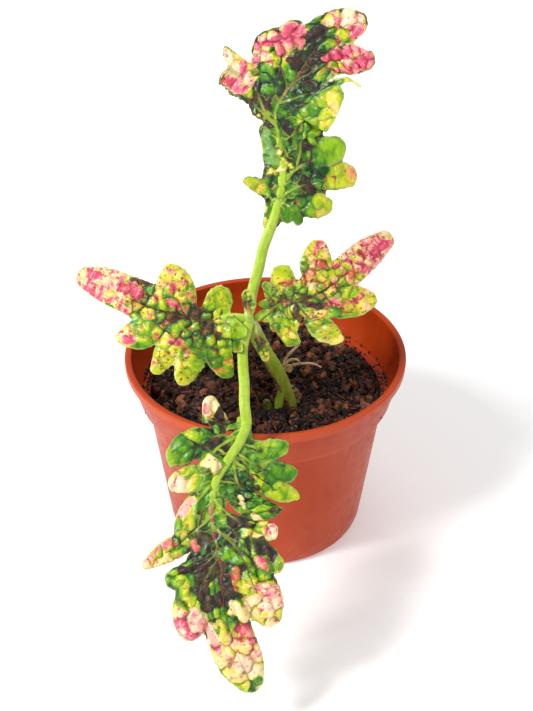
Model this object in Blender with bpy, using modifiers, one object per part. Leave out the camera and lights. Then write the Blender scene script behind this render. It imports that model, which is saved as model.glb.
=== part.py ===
"""Potted coleus: a young coleus plant in a nine-centimetre plastic nursery pot.

The pot stands on z = 0 with its axis on the origin, and the plant leans towards -Y.
Sizes are written in millimetres and turned into metres where a mesh is made.
"""

import math
from collections import namedtuple

import bmesh
import bpy
import numpy as np
from mathutils import Vector, geometry

MM = 0.001
CLEARANCE = 0.3  # between pieces that touch

# Pot
RIM_HEIGHT = 64.0
RIM_RADIUS = 45.0
RIM_WIDTH = 2.2
LIP_DROP = 3.0
COLLAR_DROP = 14.0
COLLAR_TOP_RADIUS = 43.6
COLLAR_FOOT_RADIUS = 41.0
BODY_TOP_RADIUS = 38.6
BASE_RADIUS = 31.8
WALL = 1.0
FLOOR = 1.6
POT_STEPS = 56
DRAIN_HOLES = 6
DRAIN_RING_RADIUS = 27.0
DRAIN_RADIUS = 3.2

# Soil
SOIL_DROP = 15.5  # from the rim to its mean level
SOIL_RINGS = 15
SOIL_STEPS = 44
ROLL_HEIGHT = 0.9
CRUMB_HEIGHT = 0.7
CLOD_HEIGHT = 3.2
CLOD_PLACE = (29.0, 8.0)
CLOD_WIDTH = 5.5
SHOOT_HOLE_CLEARANCE = 0.5  # the soil is faceted, so more than the gap that is left
STUB_HOLE_CLEARANCE = 0.8

# Leaves
BLADE_THICKNESS = 0.7
PATTERN_CELL = 0.6  # grid on which a blade's edge is traced
EDGE_TOLERANCE = 0.16
FACE_SPACING = 2.5
NOTCH_ROUNDING = 0.3
LOBE_CIRCLES = 14
LOBE_WIDEST = 0.62  # share of a lobe's length where it is widest
LOBE_TIP_SHARE = 0.62  # radius of a lobe's tip over its half width
RELIEF_BLEND = 0.9  # width over which one lobe's relief passes into the next one's
KEEL_HEIGHT = 0.35  # of the blade beside the sunken midrib
KEEL_WIDTH = 1.5
RIPPLE_HEIGHT = 0.3
WEB_NARROW_SHARE = 0.35  # of the web's width at the leaf's base
WEB_WIDENS_OVER = 12.0
RIB_SIDES = 2  # bevel resolution of stalks and ribs
RIB_END_SHARE = 0.86  # of the rib's length that shows under the blade
RIB_SINKS_OVER = 6.0  # length over which the stalk goes down to the blade's underside
RIB_SUNK_SHARE = 0.25  # of its radius that it goes down further
RIB_TAPER_POWER = 0.6

# Directions that the leaves' upper sides turn to
TO_LIGHT = (0.0, -0.82, 0.57)

Lobe = namedtuple("Lobe", "root tip half_width waist lift cup tilt", defaults=(0.7, 0.0, 0.0, 0.0))
Fill = namedtuple("Fill", "start end half_width")
LeafPlan = namedtuple("LeafPlan", "stalk rib face radius web lobes fills", defaults=((),))

# Each point of a lobe is (along the rib, across it), across being to the right of the rib as seen
# from above the leaf with its tip away. Lift raises the tip, cup raises both sides, and tilt raises
# the side to the lobe's left. Fills are strips of blade that close gaps between lobes.
LEAF_LEFT = LeafPlan(
    stalk=[(-7, -18.6, 88.8), (-9.5, -18.5, 89)],
    rib=[(-9.5, -18.5, 89), (-13, -19, 89), (-18, -20, 89.5), (-24, -20.5, 91), (-30, -19.5, 92),
         (-35, -18, 92.5), (-41, -14.5, 93.5), (-47, -11.5, 94.5), (-57.5, -6, 95.5)],
    face=TO_LIGHT,
    radius=(1.5, 0.35),
    web=3.2,
    lobes=[
        Lobe((23.5, 0.9), (53.3, 0.9), 5.6, 1.2, -2.0, -1.4),
        Lobe((16.5, -1), (22.5, 14), 6.5, 0.75, 1.6, -1.2),
        Lobe((7.5, -0.5), (2.3, 9.8), 4.6, 0.5, 1.0, -1.0),
        Lobe((8, -1), (-4.5, -4.6), 3.2, 0.6, 6.8, -0.6),
        Lobe((3, -6), (-3.7, -9.5), 2.3, 0.8, 5.8, -0.4),
        Lobe((7, -3.5), (3, -18), 3.5, 0.5, -1.0, -0.8),
        Lobe((10.5, -2), (12.5, -20.5), 3.4, 0.6, 1.0, -1.0),
        Lobe((15.5, -3), (20, -19), 3.5, 0.6, -0.8, -1.0),
        Lobe((20, -2), (30, -13), 4.3, 0.8, 1.2, -1.0),
    ],
)
LEAF_RIGHT = LeafPlan(
    stalk=[(-2.2, -18.4, 89), (-1, -18, 90)],
    rib=[(-1, -18, 90), (1.5, -17.5, 91.5), (6.5, -17.5, 94.5), (13.5, -18, 96), (17, -17, 97.5),
         (21, -14.5, 99), (25.5, -11, 101), (31.5, -5.5, 103), (38.5, 0.5, 105)],
    face=TO_LIGHT,
    radius=(1.15, 0.35),
    web=2.6,
    lobes=[
        Lobe((17.5, 0), (51, -1.2), 5.1, 1.05, -2.0, -1.4),
        Lobe((15, -0.5), (29.3, -13), 5.5, 0.95, 1.2, -1.0),
        Lobe((9, 0), (9.7, -10.7), 2.4, 0.55, 1.4, -0.8),
        Lobe((5, -1), (6, -8), 1.4, 1.0, 2.0, 0.6),
        Lobe((6.5, 0), (1, -3), 1.5, 1.0, 0.8),
        Lobe((4, 2), (-1.5, 1), 1.7, 1.0, -0.6),
        Lobe((6, 3.5), (-1, 6), 2.0, 1.0, -1.2),
        Lobe((9.5, 1.5), (3, 13), 5.9, 0.55, -1.0, -0.8),
        Lobe((14.5, 2), (18, 16), 2.1, 0.55, 1.0, -0.8),
        Lobe((18.5, 3), (32.5, 11.5), 4.8, 0.8, -1.0, -1.0),
    ],
)
LEAF_TOP = LeafPlan(
    stalk=[(-4.7, -17.4, 91.3), (-4, -12.5, 94), (-2, -6, 98.5), (-0.5, -0.5, 103), (1, 1.5, 106.5)],
    rib=[(1, 1.5, 106.5), (3.5, 5, 113), (5, 7.5, 120.5), (5.5, 10, 127), (4, 12, 133.5), (3, 14.5, 141),
         (7, 16, 148), (11, 17, 154), (15.5, 18.5, 160.5), (21.5, 19.5, 165), (28, 19.5, 168.5)],
    face=TO_LIGHT,
    radius=(1.7, 0.35),
    web=3.4,
    lobes=[
        Lobe((59.5, -2), (77.5, 1), 5.6, 0.9, -2.0, -1.2),
        Lobe((52, 2), (75, 12.5), 5.2, 0.9, -2.6, -1.0),
        Lobe((47, 0), (55.9, -15.4), 8.1, 0.75, 1.4, -1.6),
        Lobe((43, -6.5), (43.6, -23), 2.5, 0.9, -2.2, 0.8, 1.2),
        Lobe((39, -3), (40, -19), 1.3, 0.9, 1.4, -0.8),
        Lobe((36, 0), (38.5, -8), 1.6, 1.0, -1.0),
        Lobe((30.5, 0), (33.5, -5), 2.7, 1.2, -1.6),
        Lobe((23.5, -0.5), (25, -5.5), 3.6, 1.3, -1.6),
        Lobe((11.5, -1.5), (16, -11.5), 2.4, 1.0, 1.6),
        Lobe((12, -3), (1, -1.5), 1.2, 1.0, -0.5),
        Lobe((51.5, 8.5), (65, 17.5), 1.0, 1.5, 2.4),
        Lobe((27.5, 9.5), (54.8, 12.6), 5.5, 0.7, 1.0, -0.8),
        Lobe((23.5, 4.5), (24, 19), 2.6, 0.7, 1.4, -1.0),
        Lobe((18, 4.5), (19.5, 22.5), 3.2, 0.7, -1.0, -1.0),
        Lobe((10.6, 4), (11.6, 16.5), 3.4, 0.7, -1.6, -0.8),
        Lobe((11, 3), (5.4, 8.3), 2.0, 0.8, -1.4),
        Lobe((10, 1.5), (4.5, 4.5), 1.6, 1.0, -0.5),
    ],
    fills=[
        Fill((40.5, -5), (41, -14.5), 1.2),
        Fill((55, -3), (58, -8), 4.2),
        Fill((50, 6), (44, 5), 1.8),
        Fill((44, 4.5), (25, 5), 2.2),
        Fill((21, 5), (21, 11), 1.3),
        Fill((14.5, 4.5), (15, 12), 1.3),
        Fill((31, -3.5), (16, -4.5), 1.6),
    ],
)
LEAF_BOTTOM = LeafPlan(
    stalk=[(-5.2, -21.2, 87.9), (-5.8, -23.1, 86.3), (-6.4, -24.3, 84.1), (-6.8, -25.6, 82),
           (-6.7, -28.8, 80.8), (-6.5, -34, 80.7), (-6.1, -40, 80), (-6, -46.5, 77.5), (-5.5, -50, 72.5)],
    rib=[(-5.5, -50, 72.5), (-7, -55, 71), (-10.5, -61, 68.5), (-13.5, -66, 66), (-15, -72, 63),
         (-14.5, -79, 58), (-12.5, -85.5, 52.5), (-12, -91.5, 46), (-10.5, -95.5, 39), (-7.5, -100, 30),
         (-3.5, -103.5, 20.5)],
    face=TO_LIGHT,
    radius=(1.6, 0.4),
    web=4.0,
    lobes=[
        Lobe((57, 0.6), (83.5, -0.2), 6.6, 1.0, -1.6, -1.4),
        Lobe((7.5, 7), (-8.3, 10.3), 3.9, 0.45, 1.4, -1.0),
        Lobe((9, 6.5), (19.5, 15.5), 4.4, 0.5, -1.0, -1.4),
        Lobe((14, 8), (19, 1.5), 2.1, 0.7, 3.0),
        Lobe((19, -1), (23.5, 13), 3.2, 0.6, -1.4, -0.6),
        Lobe((24, 1.5), (35, 10), 3.2, 0.7, 1.6, -1.0),
        Lobe((35, 2.5), (39.5, 21.5), 2.6, 0.9, 1.2, -1.0),
        Lobe((43.5, 1.5), (49, 15.5), 4.4, 1.0, -1.0, -0.6),
        Lobe((50, 6), (63.3, 12.2), 5.6, 1.0, -1.6, -1.4),
        Lobe((45.5, -9.5), (66, -12), 5.7, 0.8, -1.2, -1.0),
        Lobe((42, -6), (46, -17.5), 2.8, 0.9, 1.2, -1.0),
        Lobe((34.5, -7), (40.5, -17.5), 3.2, 0.9, 2.4, 1.0, 1.0),
        Lobe((21, -8), (32.5, -18.5), 6.7, 0.8, -1.6, -0.8),
        Lobe((14, -9.5), (10.5, -23), 3.2, 0.8, 1.0, -0.6),
        Lobe((11, -6), (6, -19), 2.6, 0.7, -1.2, -0.8),
        Lobe((7, -2.5), (2.5, -13.5), 2.8, 0.7, 1.4, -0.8),
        Lobe((5.5, -1), (2.5, -2), 1.5, 1.0, 0.5),
        Lobe((-2, 1.5), (4.5, 5), 1.0, 1.0, 0.5),
    ],
    fills=[
        Fill((9, 4.5), (15, 5.5), 2.2),
        Fill((7, -4.5), (19, -6), 2.2),
        Fill((31.5, -5), (34, -6), 1.6),
        Fill((36, -4), (40.5, -8), 2.0),
        Fill((38, -5), (44, -5), 1.8),
        Fill((37, 3.5), (43.5, 10), 1.5),
        Fill((44, -4.5), (53, -4.5), 1.6),
    ],
)
YOUNG_LEAF_UPPER = LeafPlan(
    stalk=[(-4.7, -20.7, 90.6), (-4.8, -20.6, 92.6)],
    rib=[(-4.8, -20.6, 92.6), (-5.4, -19.8, 96), (-5.8, -18.6, 99.4)],
    face=TO_LIGHT,
    radius=(0.7, 0.3),
    web=1.1,
    lobes=[Lobe((1.5, 0), (7, 0), 1.5, 0.7, 0.0, 0.5), Lobe((1.5, 0), (2.6, 2.6), 1.0, 0.7, 0.4)],
)
YOUNG_LEAF_LOWER = LeafPlan(
    stalk=[(-3.1, -20.8, 86.8), (-2.6, -22, 85.4)],
    rib=[(-2.6, -22, 85.4), (-1.1, -23.2, 81.6), (0.6, -24, 77)],
    face=TO_LIGHT,
    radius=(0.7, 0.3),
    web=1.1,
    lobes=[Lobe((1.5, 0), (9.2, 0), 1.5, 0.7, 0.0, 0.5), Lobe((2.0, 0), (4.0, -2.4), 0.9, 0.7, 0.4)],
)

# Stem, side shoots and roots: centre lines, with the radius at each point, and the length of
# their straight pieces
STEM_SPACING = 3.0
LUMP_SPACING = 2.5
STUB_SPACING = 1.8
ROOT_SPACING = 1.6
RIB_SPACING = 2.6
STEM_PATH = [(8.4, -7.6, 41.5), (7.9, -8.2, 48.5), (6.0, -9.6, 56.4), (3.6, -11.6, 64.6), (0.2, -14, 73),
             (-2.4, -16.2, 80.4), (-4.3, -18, 86.6), (-4.9, -18.5, 88.8), (-5.1, -18.7, 90)]
STEM_RADII = [2.2, 2.3, 2.3, 2.3, 2.2, 2.1, 2.2, 2.3, 1.4]
SIDE_SHOOT_PATH = [(4.6, -11.6, 44), (4.3, -11.8, 48.5), (4.4, -11.6, 52.5), (5.4, -10.4, 57)]
SIDE_SHOOT_RADII = [1.4, 1.5, 1.4, 1.2]
STUB_PATH = [(1.4, -10.6, 44), (0.9, -10.6, 49.6), (0.4, -10.9, 51.4)]
STUB_RADII = [1.4, 1.7, 1.2]
ROOT_LUMP_PATH = [(10.2, -6.4, 46), (9.9, -6.2, 51), (8.6, -6.8, 54.6)]
ROOT_LUMP_RADII = [1.2, 1.5, 0.8]
ROOT_PATHS = [
    [(5.7, -8.6, 64.5), (6.3, -8.1, 66.2), (8.5, -7.8, 69.4), (10.5, -7.6, 71.6)],
    [(6.1, -8.6, 63.4), (7.2, -8.3, 66.0), (10.0, -8.0, 66.2), (11.2, -8.0, 64.6)],
    [(6.6, -8.4, 62.4), (8.4, -8.1, 64.0), (12.0, -7.8, 64.6), (15.0, -7.6, 64.4), (17.6, -7.2, 62.8)],
]
ROOT_RADII = [0.42, 0.42, 0.3]
ROOT_KNOB = (7.6, -8.1, 62.9)
ROOT_KNOB_RADIUS = 1.2

COLOURS = {
    "pot_plastic": ((0.49, 0.085, 0.028), 0.45),
    "potting_soil": ((0.022, 0.012, 0.008), 0.95),
    "stem_skin": ((0.34, 0.55, 0.05), 0.45),
    "leaf_blade": ((0.28, 0.42, 0.03), 0.45),
    "young_leaf": ((0.42, 0.5, 0.05), 0.45),
    "shoot_skin": ((0.2, 0.27, 0.03), 0.5),
    "root_skin": ((0.72, 0.5, 0.26), 0.6),
}


def clear_scene():
    for old in list(bpy.data.objects):
        bpy.data.objects.remove(old, do_unlink=True)


def new_collection(name):
    collection = bpy.data.collections.new(name)
    bpy.context.scene.collection.children.link(collection)
    return collection


def material(name):
    colour, roughness = COLOURS[name]
    made = bpy.data.materials.get(name) or bpy.data.materials.new(name)
    made.use_nodes = True
    shader = made.node_tree.nodes["Principled BSDF"]
    shader.inputs["Base Color"].default_value = (*colour, 1.0)
    shader.inputs["Roughness"].default_value = roughness
    return made


def add_object(name, mesh, collection):
    made = bpy.data.objects.new(name, mesh)
    collection.objects.link(made)
    return made


def moved_to(piece, collection):
    for owner in list(piece.users_collection):
        owner.objects.unlink(piece)
    collection.objects.link(piece)
    return piece


def solid_copy(source, name, collection):
    """The evaluated shape of an object as a new mesh object; the source is removed."""
    graph = bpy.context.evaluated_depsgraph_get()
    mesh = bpy.data.meshes.new_from_object(source.evaluated_get(graph))
    made = add_object(name, mesh, collection)
    made.matrix_world = source.matrix_world.copy()
    bpy.data.objects.remove(source, do_unlink=True)
    mesh.name = name
    return made


def weld(piece):
    shell = bmesh.new()
    shell.from_mesh(piece.data)
    bmesh.ops.remove_doubles(shell, verts=shell.verts, dist=1e-6)
    bmesh.ops.recalc_face_normals(shell, faces=shell.faces)
    shell.to_mesh(piece.data)
    shell.free()


def finish(piece, kind):
    piece.data.materials.clear()
    piece.data.materials.append(material(kind))
    piece.data.shade_smooth()
    piece.data.set_sharp_from_angle(angle=math.radians(40))


def turned(name, profile, steps, collection):
    """A closed ring of (radius, height) points turned about the Z axis."""
    mesh = bpy.data.meshes.new(name)
    points = [(radius * MM, 0.0, height * MM) for radius, height in profile]
    mesh.from_pydata(points, [(i, i + 1) for i in range(len(points) - 1)], [])
    made = add_object(name, mesh, collection)
    screw = made.modifiers.new("Turn", "SCREW")
    screw.steps = steps
    screw.render_steps = steps
    screw.use_merge_vertices = True
    screw.merge_threshold = 1e-5
    screw.use_smooth_shade = True
    return made


def smooth_path(points, spacing):
    """Points at about this spacing on a smooth curve through the given ones."""
    given = np.array(points, float)
    at = np.r_[0, np.cumsum(np.linalg.norm(np.diff(given, axis=0), axis=1))]
    slopes = np.gradient(given, at, axis=0)
    where = np.linspace(0, at[-1], max(3, round(at[-1] / spacing) + 1))
    span = np.clip(np.searchsorted(at, where, side="right") - 1, 0, len(at) - 2)
    width = (at[span + 1] - at[span])[:, None]
    u = (where - at[span])[:, None] / width
    return (
        (2 * u**3 - 3 * u**2 + 1) * given[span]
        + (u**3 - 2 * u**2 + u) * width * slopes[span]
        + (3 * u**2 - 2 * u**3) * given[span + 1]
        + (u**3 - u**2) * width * slopes[span + 1]
    )


def tube(name, path, radii, collection):
    """A round tube along the path, with one radius at each of its points."""
    data = bpy.data.curves.new(name, "CURVE")
    data.dimensions = "3D"
    data.bevel_depth = 1.0 * MM
    data.bevel_resolution = RIB_SIDES
    data.use_fill_caps = True
    spline = data.splines.new("POLY")
    spline.points.add(len(path) - 1)
    for point, place, radius in zip(spline.points, path, radii):
        point.co = (*(np.asarray(place) * MM), 1.0)
        point.radius = radius
    made = solid_copy(add_object(name + "_curve", data, collection), name, collection)
    weld(made)
    return made


def shoot(name, points, radii, spacing, collection):
    """A tube on the smooth curve through the points, its radius blended between theirs."""
    path = smooth_path(points, spacing)
    given = np.linspace(0, 1, len(radii))
    return tube(name, path, np.interp(np.linspace(0, 1, len(path)), given, radii), collection)


def joined(name, pieces, collection):
    """The pieces as one body, by one Boolean union on a collection."""
    first, *others = pieces
    tools = new_collection(name + "_tools")
    for other in others:
        collection.objects.unlink(other)
        tools.objects.link(other)
    union = first.modifiers.new("Join", "BOOLEAN")
    union.operation = "UNION"
    union.operand_type = "COLLECTION"
    union.collection = tools
    union.solver = "EXACT"
    made = solid_copy(first, name, collection)
    for other in others:
        bpy.data.objects.remove(other, do_unlink=True)
    bpy.data.collections.remove(tools)
    return made


def cut(piece, cutters, collection):
    """The piece with the cutters' shapes taken out of it."""
    holder = new_collection(piece.name + "_cutters")
    holder.hide_render = True
    for cutter in cutters:
        collection.objects.unlink(cutter)
        holder.objects.link(cutter)
        cutter.hide_render = True
        cutter.display_type = "WIRE"
    bore = piece.modifiers.new("Cut", "BOOLEAN")
    bore.operation = "DIFFERENCE"
    bore.operand_type = "COLLECTION"
    bore.collection = holder
    bore.solver = "EXACT"
    name = piece.name
    piece.name = name + "_uncut"
    made = solid_copy(piece, name, collection)
    for cutter in cutters:
        bpy.data.objects.remove(cutter, do_unlink=True)
    bpy.data.collections.remove(holder)
    return made


def wall_radius(height, outside):
    """Radius of the pot's body below its step, on the outer or the inner face."""
    share = height / (RIM_HEIGHT - COLLAR_DROP)
    outer = BASE_RADIUS + (BODY_TOP_RADIUS - BASE_RADIUS) * share
    return outer if outside else outer - WALL


def build_pot(collection):
    """A thin turned shell with a lip, a collar with a step, and drain holes in its floor."""
    step = RIM_HEIGHT - COLLAR_DROP
    profile = [
        (RIM_RADIUS - RIM_WIDTH, RIM_HEIGHT - 0.3),
        (RIM_RADIUS - RIM_WIDTH + 0.4, RIM_HEIGHT),
        (RIM_RADIUS - 0.5, RIM_HEIGHT),
        (RIM_RADIUS, RIM_HEIGHT - 0.6),
        (RIM_RADIUS - 0.2, RIM_HEIGHT - LIP_DROP),
        (COLLAR_TOP_RADIUS, RIM_HEIGHT - LIP_DROP - 0.4),
        (COLLAR_FOOT_RADIUS, step + 0.4),
        (COLLAR_FOOT_RADIUS - 0.5, step),
        (BODY_TOP_RADIUS, step - 0.5),
        (BASE_RADIUS, 2.8),
        (BASE_RADIUS - 0.9, 0.8),
        (BASE_RADIUS - 2.6, 0.0),
        (0.0, 0.0),
        (0.0, FLOOR),
        (BASE_RADIUS - WALL - 0.6, FLOOR),
        (wall_radius(FLOOR + 0.8, False), FLOOR + 0.8),
        (BODY_TOP_RADIUS - WALL, step - 1.0),
        (COLLAR_FOOT_RADIUS - WALL - 0.3, step + 0.6),
        (RIM_RADIUS - RIM_WIDTH, RIM_HEIGHT - LIP_DROP),
        (RIM_RADIUS - RIM_WIDTH, RIM_HEIGHT - 0.3),
    ]
    shell = turned("pot", profile, POT_STEPS, collection)
    shell.name = "pot_turned"
    pot = solid_copy(shell, "pot", collection)
    weld(pot)
    cutters = []
    for k in range(DRAIN_HOLES):
        turn = 2 * math.pi * (k + 0.5) / DRAIN_HOLES
        bpy.ops.mesh.primitive_cylinder_add(
            vertices=16,
            radius=DRAIN_RADIUS * MM,
            depth=4 * FLOOR * MM,
            location=(DRAIN_RING_RADIUS * math.cos(turn) * MM, DRAIN_RING_RADIUS * math.sin(turn) * MM, 0),
        )
        cutters.append(moved_to(bpy.context.object, collection))
    pot = cut(pot, cutters, collection)
    finish(pot, "pot_plastic")
    return pot


def soil_relief(x, y):
    """Height of the crumbly surface above its mean level."""
    rolls = np.sin(0.16 * x + 1.1) * np.cos(0.19 * y - 0.4)
    crumbs = np.sin(0.61 * x + 0.9 * np.sin(0.33 * y)) * np.sin(0.57 * y + 1.3 * np.cos(0.41 * x))
    from_clod = math.hypot(x - CLOD_PLACE[0], y - CLOD_PLACE[1])
    clod = math.exp(-((from_clod / CLOD_WIDTH) ** 2))
    return ROLL_HEIGHT * rolls + CRUMB_HEIGHT * crumbs + CLOD_HEIGHT * clod


def build_soil(collection, holes):
    """Soil turned to fit the pot, its surface moved by the relief, with a plain hole for each shoot."""
    level = RIM_HEIGHT - SOIL_DROP
    foot = FLOOR + CLEARANCE
    gap = CLEARANCE + 0.1
    top_radius = wall_radius(level, False) - gap
    profile = [(top_radius * (k / SOIL_RINGS), level) for k in range(SOIL_RINGS + 1)]
    profile += [
        (wall_radius(level - 3.0, False) - gap, level - 3.0),
        (wall_radius(foot + 2.0, False) - gap, foot + 2.0),
        (BASE_RADIUS - WALL - 2.0, foot),
        (0.0, foot),
    ]
    shell = turned("soil_turned", profile, SOIL_STEPS, collection)
    soil = solid_copy(shell, "soil", collection)
    weld(soil)
    for vertex in soil.data.vertices:
        x, y, z = (value / MM for value in vertex.co)
        if z > level - 0.1:
            share = min(1.0, math.hypot(x, y) / top_radius)
            vertex.co.z += MM * float(soil_relief(x, y)) * (1 - 0.6 * share**8)
    cutters = [tube("hole", path, radii, collection) for path, radii in holes]
    soil = cut(soil, cutters, collection)
    finish(soil, "potting_soil")
    return soil


def lobe_distance(lobe, flat):
    """How far each flat point lies outside the lobe's rounded outline; inside is negative."""
    root, tip = np.array(lobe.root, float), np.array(lobe.tip, float)
    length = np.linalg.norm(tip - root)
    tip_radius = LOBE_TIP_SHARE * lobe.half_width
    share = np.linspace(0, 1, LOBE_CIRCLES)
    grow = np.clip(share / LOBE_WIDEST, 0, 1)
    shrink = np.clip((share - LOBE_WIDEST) / (1 - LOBE_WIDEST), 0, 1)
    waist = lobe.waist * lobe.half_width
    radii = waist + (lobe.half_width - waist) * np.sin(grow * math.pi / 2)
    radii -= (lobe.half_width - tip_radius) * (1 - np.cos(shrink * math.pi / 2))
    centres = root + (tip - root) * share[:, None] * (1 - tip_radius / length)
    away = np.linalg.norm(flat[:, None, :] - centres[None, :, :], axis=2) - radii
    return away.min(axis=1)


def web_distance(plan, flat):
    """Distance outside the narrow web of blade that runs along both sides of the rib."""
    reach = max(lobe.root[0] for lobe in plan.lobes)
    along = np.clip(flat[:, 0], 1.0, reach)
    width = plan.web * np.minimum(1.0, WEB_NARROW_SHARE + along / WEB_WIDENS_OVER)
    return np.hypot(flat[:, 0] - along, flat[:, 1]) - width


def fill_distance(fill, flat):
    """Distance outside a rounded strip of blade that closes the gap between two lobes."""
    start, chord = np.array(fill.start, float), np.subtract(fill.end, fill.start).astype(float)
    share = np.clip((flat - start) @ chord / (chord @ chord), 0, 1)
    return np.linalg.norm(flat - start - share[:, None] * chord, axis=1) - fill.half_width


def blade_distance(plan, flat):
    """Distance outside the blade, with the notches between its lobes a little rounded."""
    each = [lobe_distance(lobe, flat) for lobe in plan.lobes] + [web_distance(plan, flat)]
    each += [fill_distance(fill, flat) for fill in plan.fills]
    return -NOTCH_ROUNDING * np.log(sum(np.exp(-np.clip(d, -9, 9) / NOTCH_ROUNDING) for d in each))


def blade_relief(plan, flat):
    """Height of the blade above its bent mean surface: each lobe's lift, cup and tilt, blended."""
    total = np.zeros(len(flat))
    weights = np.full(len(flat), 1e-6)
    for lobe in plan.lobes:
        root, tip = np.array(lobe.root, float), np.array(lobe.tip, float)
        length = np.linalg.norm(tip - root)
        axis = (tip - root) / length
        away = flat - root
        share = np.clip(away @ axis / length, 0, 1.1)
        side = np.clip((away @ np.array((-axis[1], axis[0]))) / lobe.half_width, -1.4, 1.4)
        height = lobe.lift * share**2 + lobe.cup * side**2 * share + lobe.tilt * side * share
        weight = np.exp(-np.clip(lobe_distance(lobe, flat), -6, 6) / RELIEF_BLEND)
        total += weight * height
        weights += weight
    along, across = flat.T
    keel = 1 - np.exp(-np.abs(across) / KEEL_WIDTH)
    ripple = np.sin(1.25 * along + 0.6 * across) * np.sin(0.95 * across - 0.4 * along)
    return total / weights + KEEL_HEIGHT * keel + RIPPLE_HEIGHT * ripple


def trace_edge(plan):
    """The blade's edge as one anticlockwise loop of flat points."""
    ends = np.array([lobe.tip for lobe in plan.lobes] + [lobe.root for lobe in plan.lobes], float)
    low, high = ends.min(axis=0) - 8.0, ends.max(axis=0) + 8.0
    columns, rows = np.ceil((high - low) / PATTERN_CELL).astype(int) + 1
    grid = np.stack(np.meshgrid(np.arange(columns), np.arange(rows), indexing="ij"), axis=-1).reshape(-1, 2)
    points = low + grid * PATTERN_CELL
    value = blade_distance(plan, points)
    corner = np.arange(columns * rows).reshape(columns, rows)
    a, b, c, d = (corner[:-1, :-1], corner[1:, :-1], corner[1:, 1:], corner[:-1, 1:])
    halves = [np.stack(corners, axis=-1).reshape(-1, 3) for corners in ((a, b, c), (a, c, d))]
    triangles = np.concatenate(halves)
    inside = value[triangles] < 0
    mixed = triangles[inside.any(axis=1) & ~inside.all(axis=1)]
    following = {}
    for triangle in mixed:
        for k in range(3):
            here, there = triangle[k], triangle[(k + 1) % 3]
            if value[here] < 0 <= value[there]:
                leaving = (here, there)
            elif value[there] < 0 <= value[here]:
                entering = (there, here)
        following[leaving] = entering
    loops = []
    while following:
        start = next(iter(following))
        loop, edge = [], start
        while edge in following:
            loop.append(edge)
            edge = following.pop(edge)
        loops.append(loop)
    longest = max(loops, key=len)
    inner, outer = (np.array([edge[k] for edge in longest]) for k in (0, 1))
    share = (value[inner] / (value[inner] - value[outer]))[:, None]
    return points[inner] + (points[outer] - points[inner]) * share


def simplified(loop, tolerance):
    """The loop with only the points that keep it within the tolerance."""
    far = int(np.argmax(np.linalg.norm(loop - loop[0], axis=1)))
    kept = set()
    spans = [(0, far), (far, len(loop))]
    while spans:
        start, end = spans.pop()
        kept.add(start)
        chord = loop[end % len(loop)] - loop[start]
        between = loop[start + 1 : end] - loop[start]
        if not len(between):
            continue
        share = np.clip(between @ chord / (chord @ chord), 0, 1)
        off = np.linalg.norm(between - share[:, None] * chord, axis=1)
        worst = int(np.argmax(off))
        if off[worst] > tolerance:
            spans += [(start, start + 1 + worst), (start + 1 + worst, end)]
    return loop[sorted(kept)]


def flat_blade(plan):
    """Flat points and triangles that fill the blade's outline."""
    edge = simplified(trace_edge(plan), EDGE_TOLERANCE)
    low, high = edge.min(axis=0), edge.max(axis=0)
    row_height = FACE_SPACING * math.sqrt(3) / 2
    fill = []
    for row in range(math.floor(low[1] / row_height), math.ceil(high[1] / row_height) + 1):
        start = low[0] + (FACE_SPACING / 2 if row % 2 else 0.0)
        fill += [(x, row * row_height) for x in np.arange(start, high[0], FACE_SPACING)]
    fill = np.array(fill)
    fill = fill[blade_distance(plan, fill) < -0.4 * FACE_SPACING]
    points = [Vector(point) for point in np.concatenate([edge, fill])]
    found = geometry.delaunay_2d_cdt(points, [], [list(range(len(edge)))], 1, 1e-4)
    return np.array([tuple(point) for point in found[0]]), np.array(found[2])


def leaf_frame(plan, along):
    """Centre, side and face directions of the leaf at distances along its rib."""
    path = smooth_path(plan.stalk + plan.rib[1:], 0.5)
    lengths = np.r_[0, np.cumsum(np.linalg.norm(np.diff(path, axis=0), axis=1))]
    base = lengths[np.argmin(np.linalg.norm(path - np.array(plan.rib[0]), axis=1))]
    ahead = np.gradient(path, lengths, axis=0)
    ahead /= np.linalg.norm(ahead, axis=1)[:, None]
    face = np.array(plan.face) - (ahead @ np.array(plan.face))[:, None] * ahead
    face /= np.linalg.norm(face, axis=1)[:, None]
    side = np.cross(ahead, face)
    at = along + base
    centre, ahead, side, face = (
        np.stack([np.interp(at, lengths, values[:, k]) for k in range(3)], axis=1)
        for values in (path, ahead, side, face)
    )
    past_ends = (at - np.clip(at, 0, lengths[-1]))[:, None]
    return centre + past_ends * ahead, side, face


def blade(name, plan, collection):
    """The lobed blade as a closed body, split into the same triangles on both faces."""
    flat, triangles = flat_blade(plan)
    centre, side, face = leaf_frame(plan, flat[:, 0])
    middle = centre + side * flat[:, 1:] + face * blade_relief(plan, flat)[:, None]
    corner = middle[triangles]
    face_normals = np.cross(corner[:, 1] - corner[:, 0], corner[:, 2] - corner[:, 0])
    facing = np.sign((face_normals * face[triangles[:, 0]]).sum())
    if facing < 0:
        triangles = triangles[:, ::-1]
        face_normals = -face_normals
    normals = np.zeros_like(middle)
    for k in range(3):
        np.add.at(normals, triangles[:, k], face_normals)
    normals /= np.linalg.norm(normals, axis=1)[:, None]
    points = np.concatenate([middle + normals * BLADE_THICKNESS / 2, middle - normals * BLADE_THICKNESS / 2])
    count = len(flat)
    faces = triangles.tolist() + (triangles[:, ::-1] + count).tolist()
    used = {(a, b) for tri in triangles.tolist() for a, b in zip(tri, tri[1:] + tri[:1])}
    for a, b in used:
        if (b, a) not in used:
            faces += [(b, a, a + count), (b, a + count, b + count)]
    mesh = bpy.data.meshes.new(name)
    mesh.from_pydata((points * MM).tolist(), [], faces)
    return add_object(name, mesh, collection)


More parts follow.
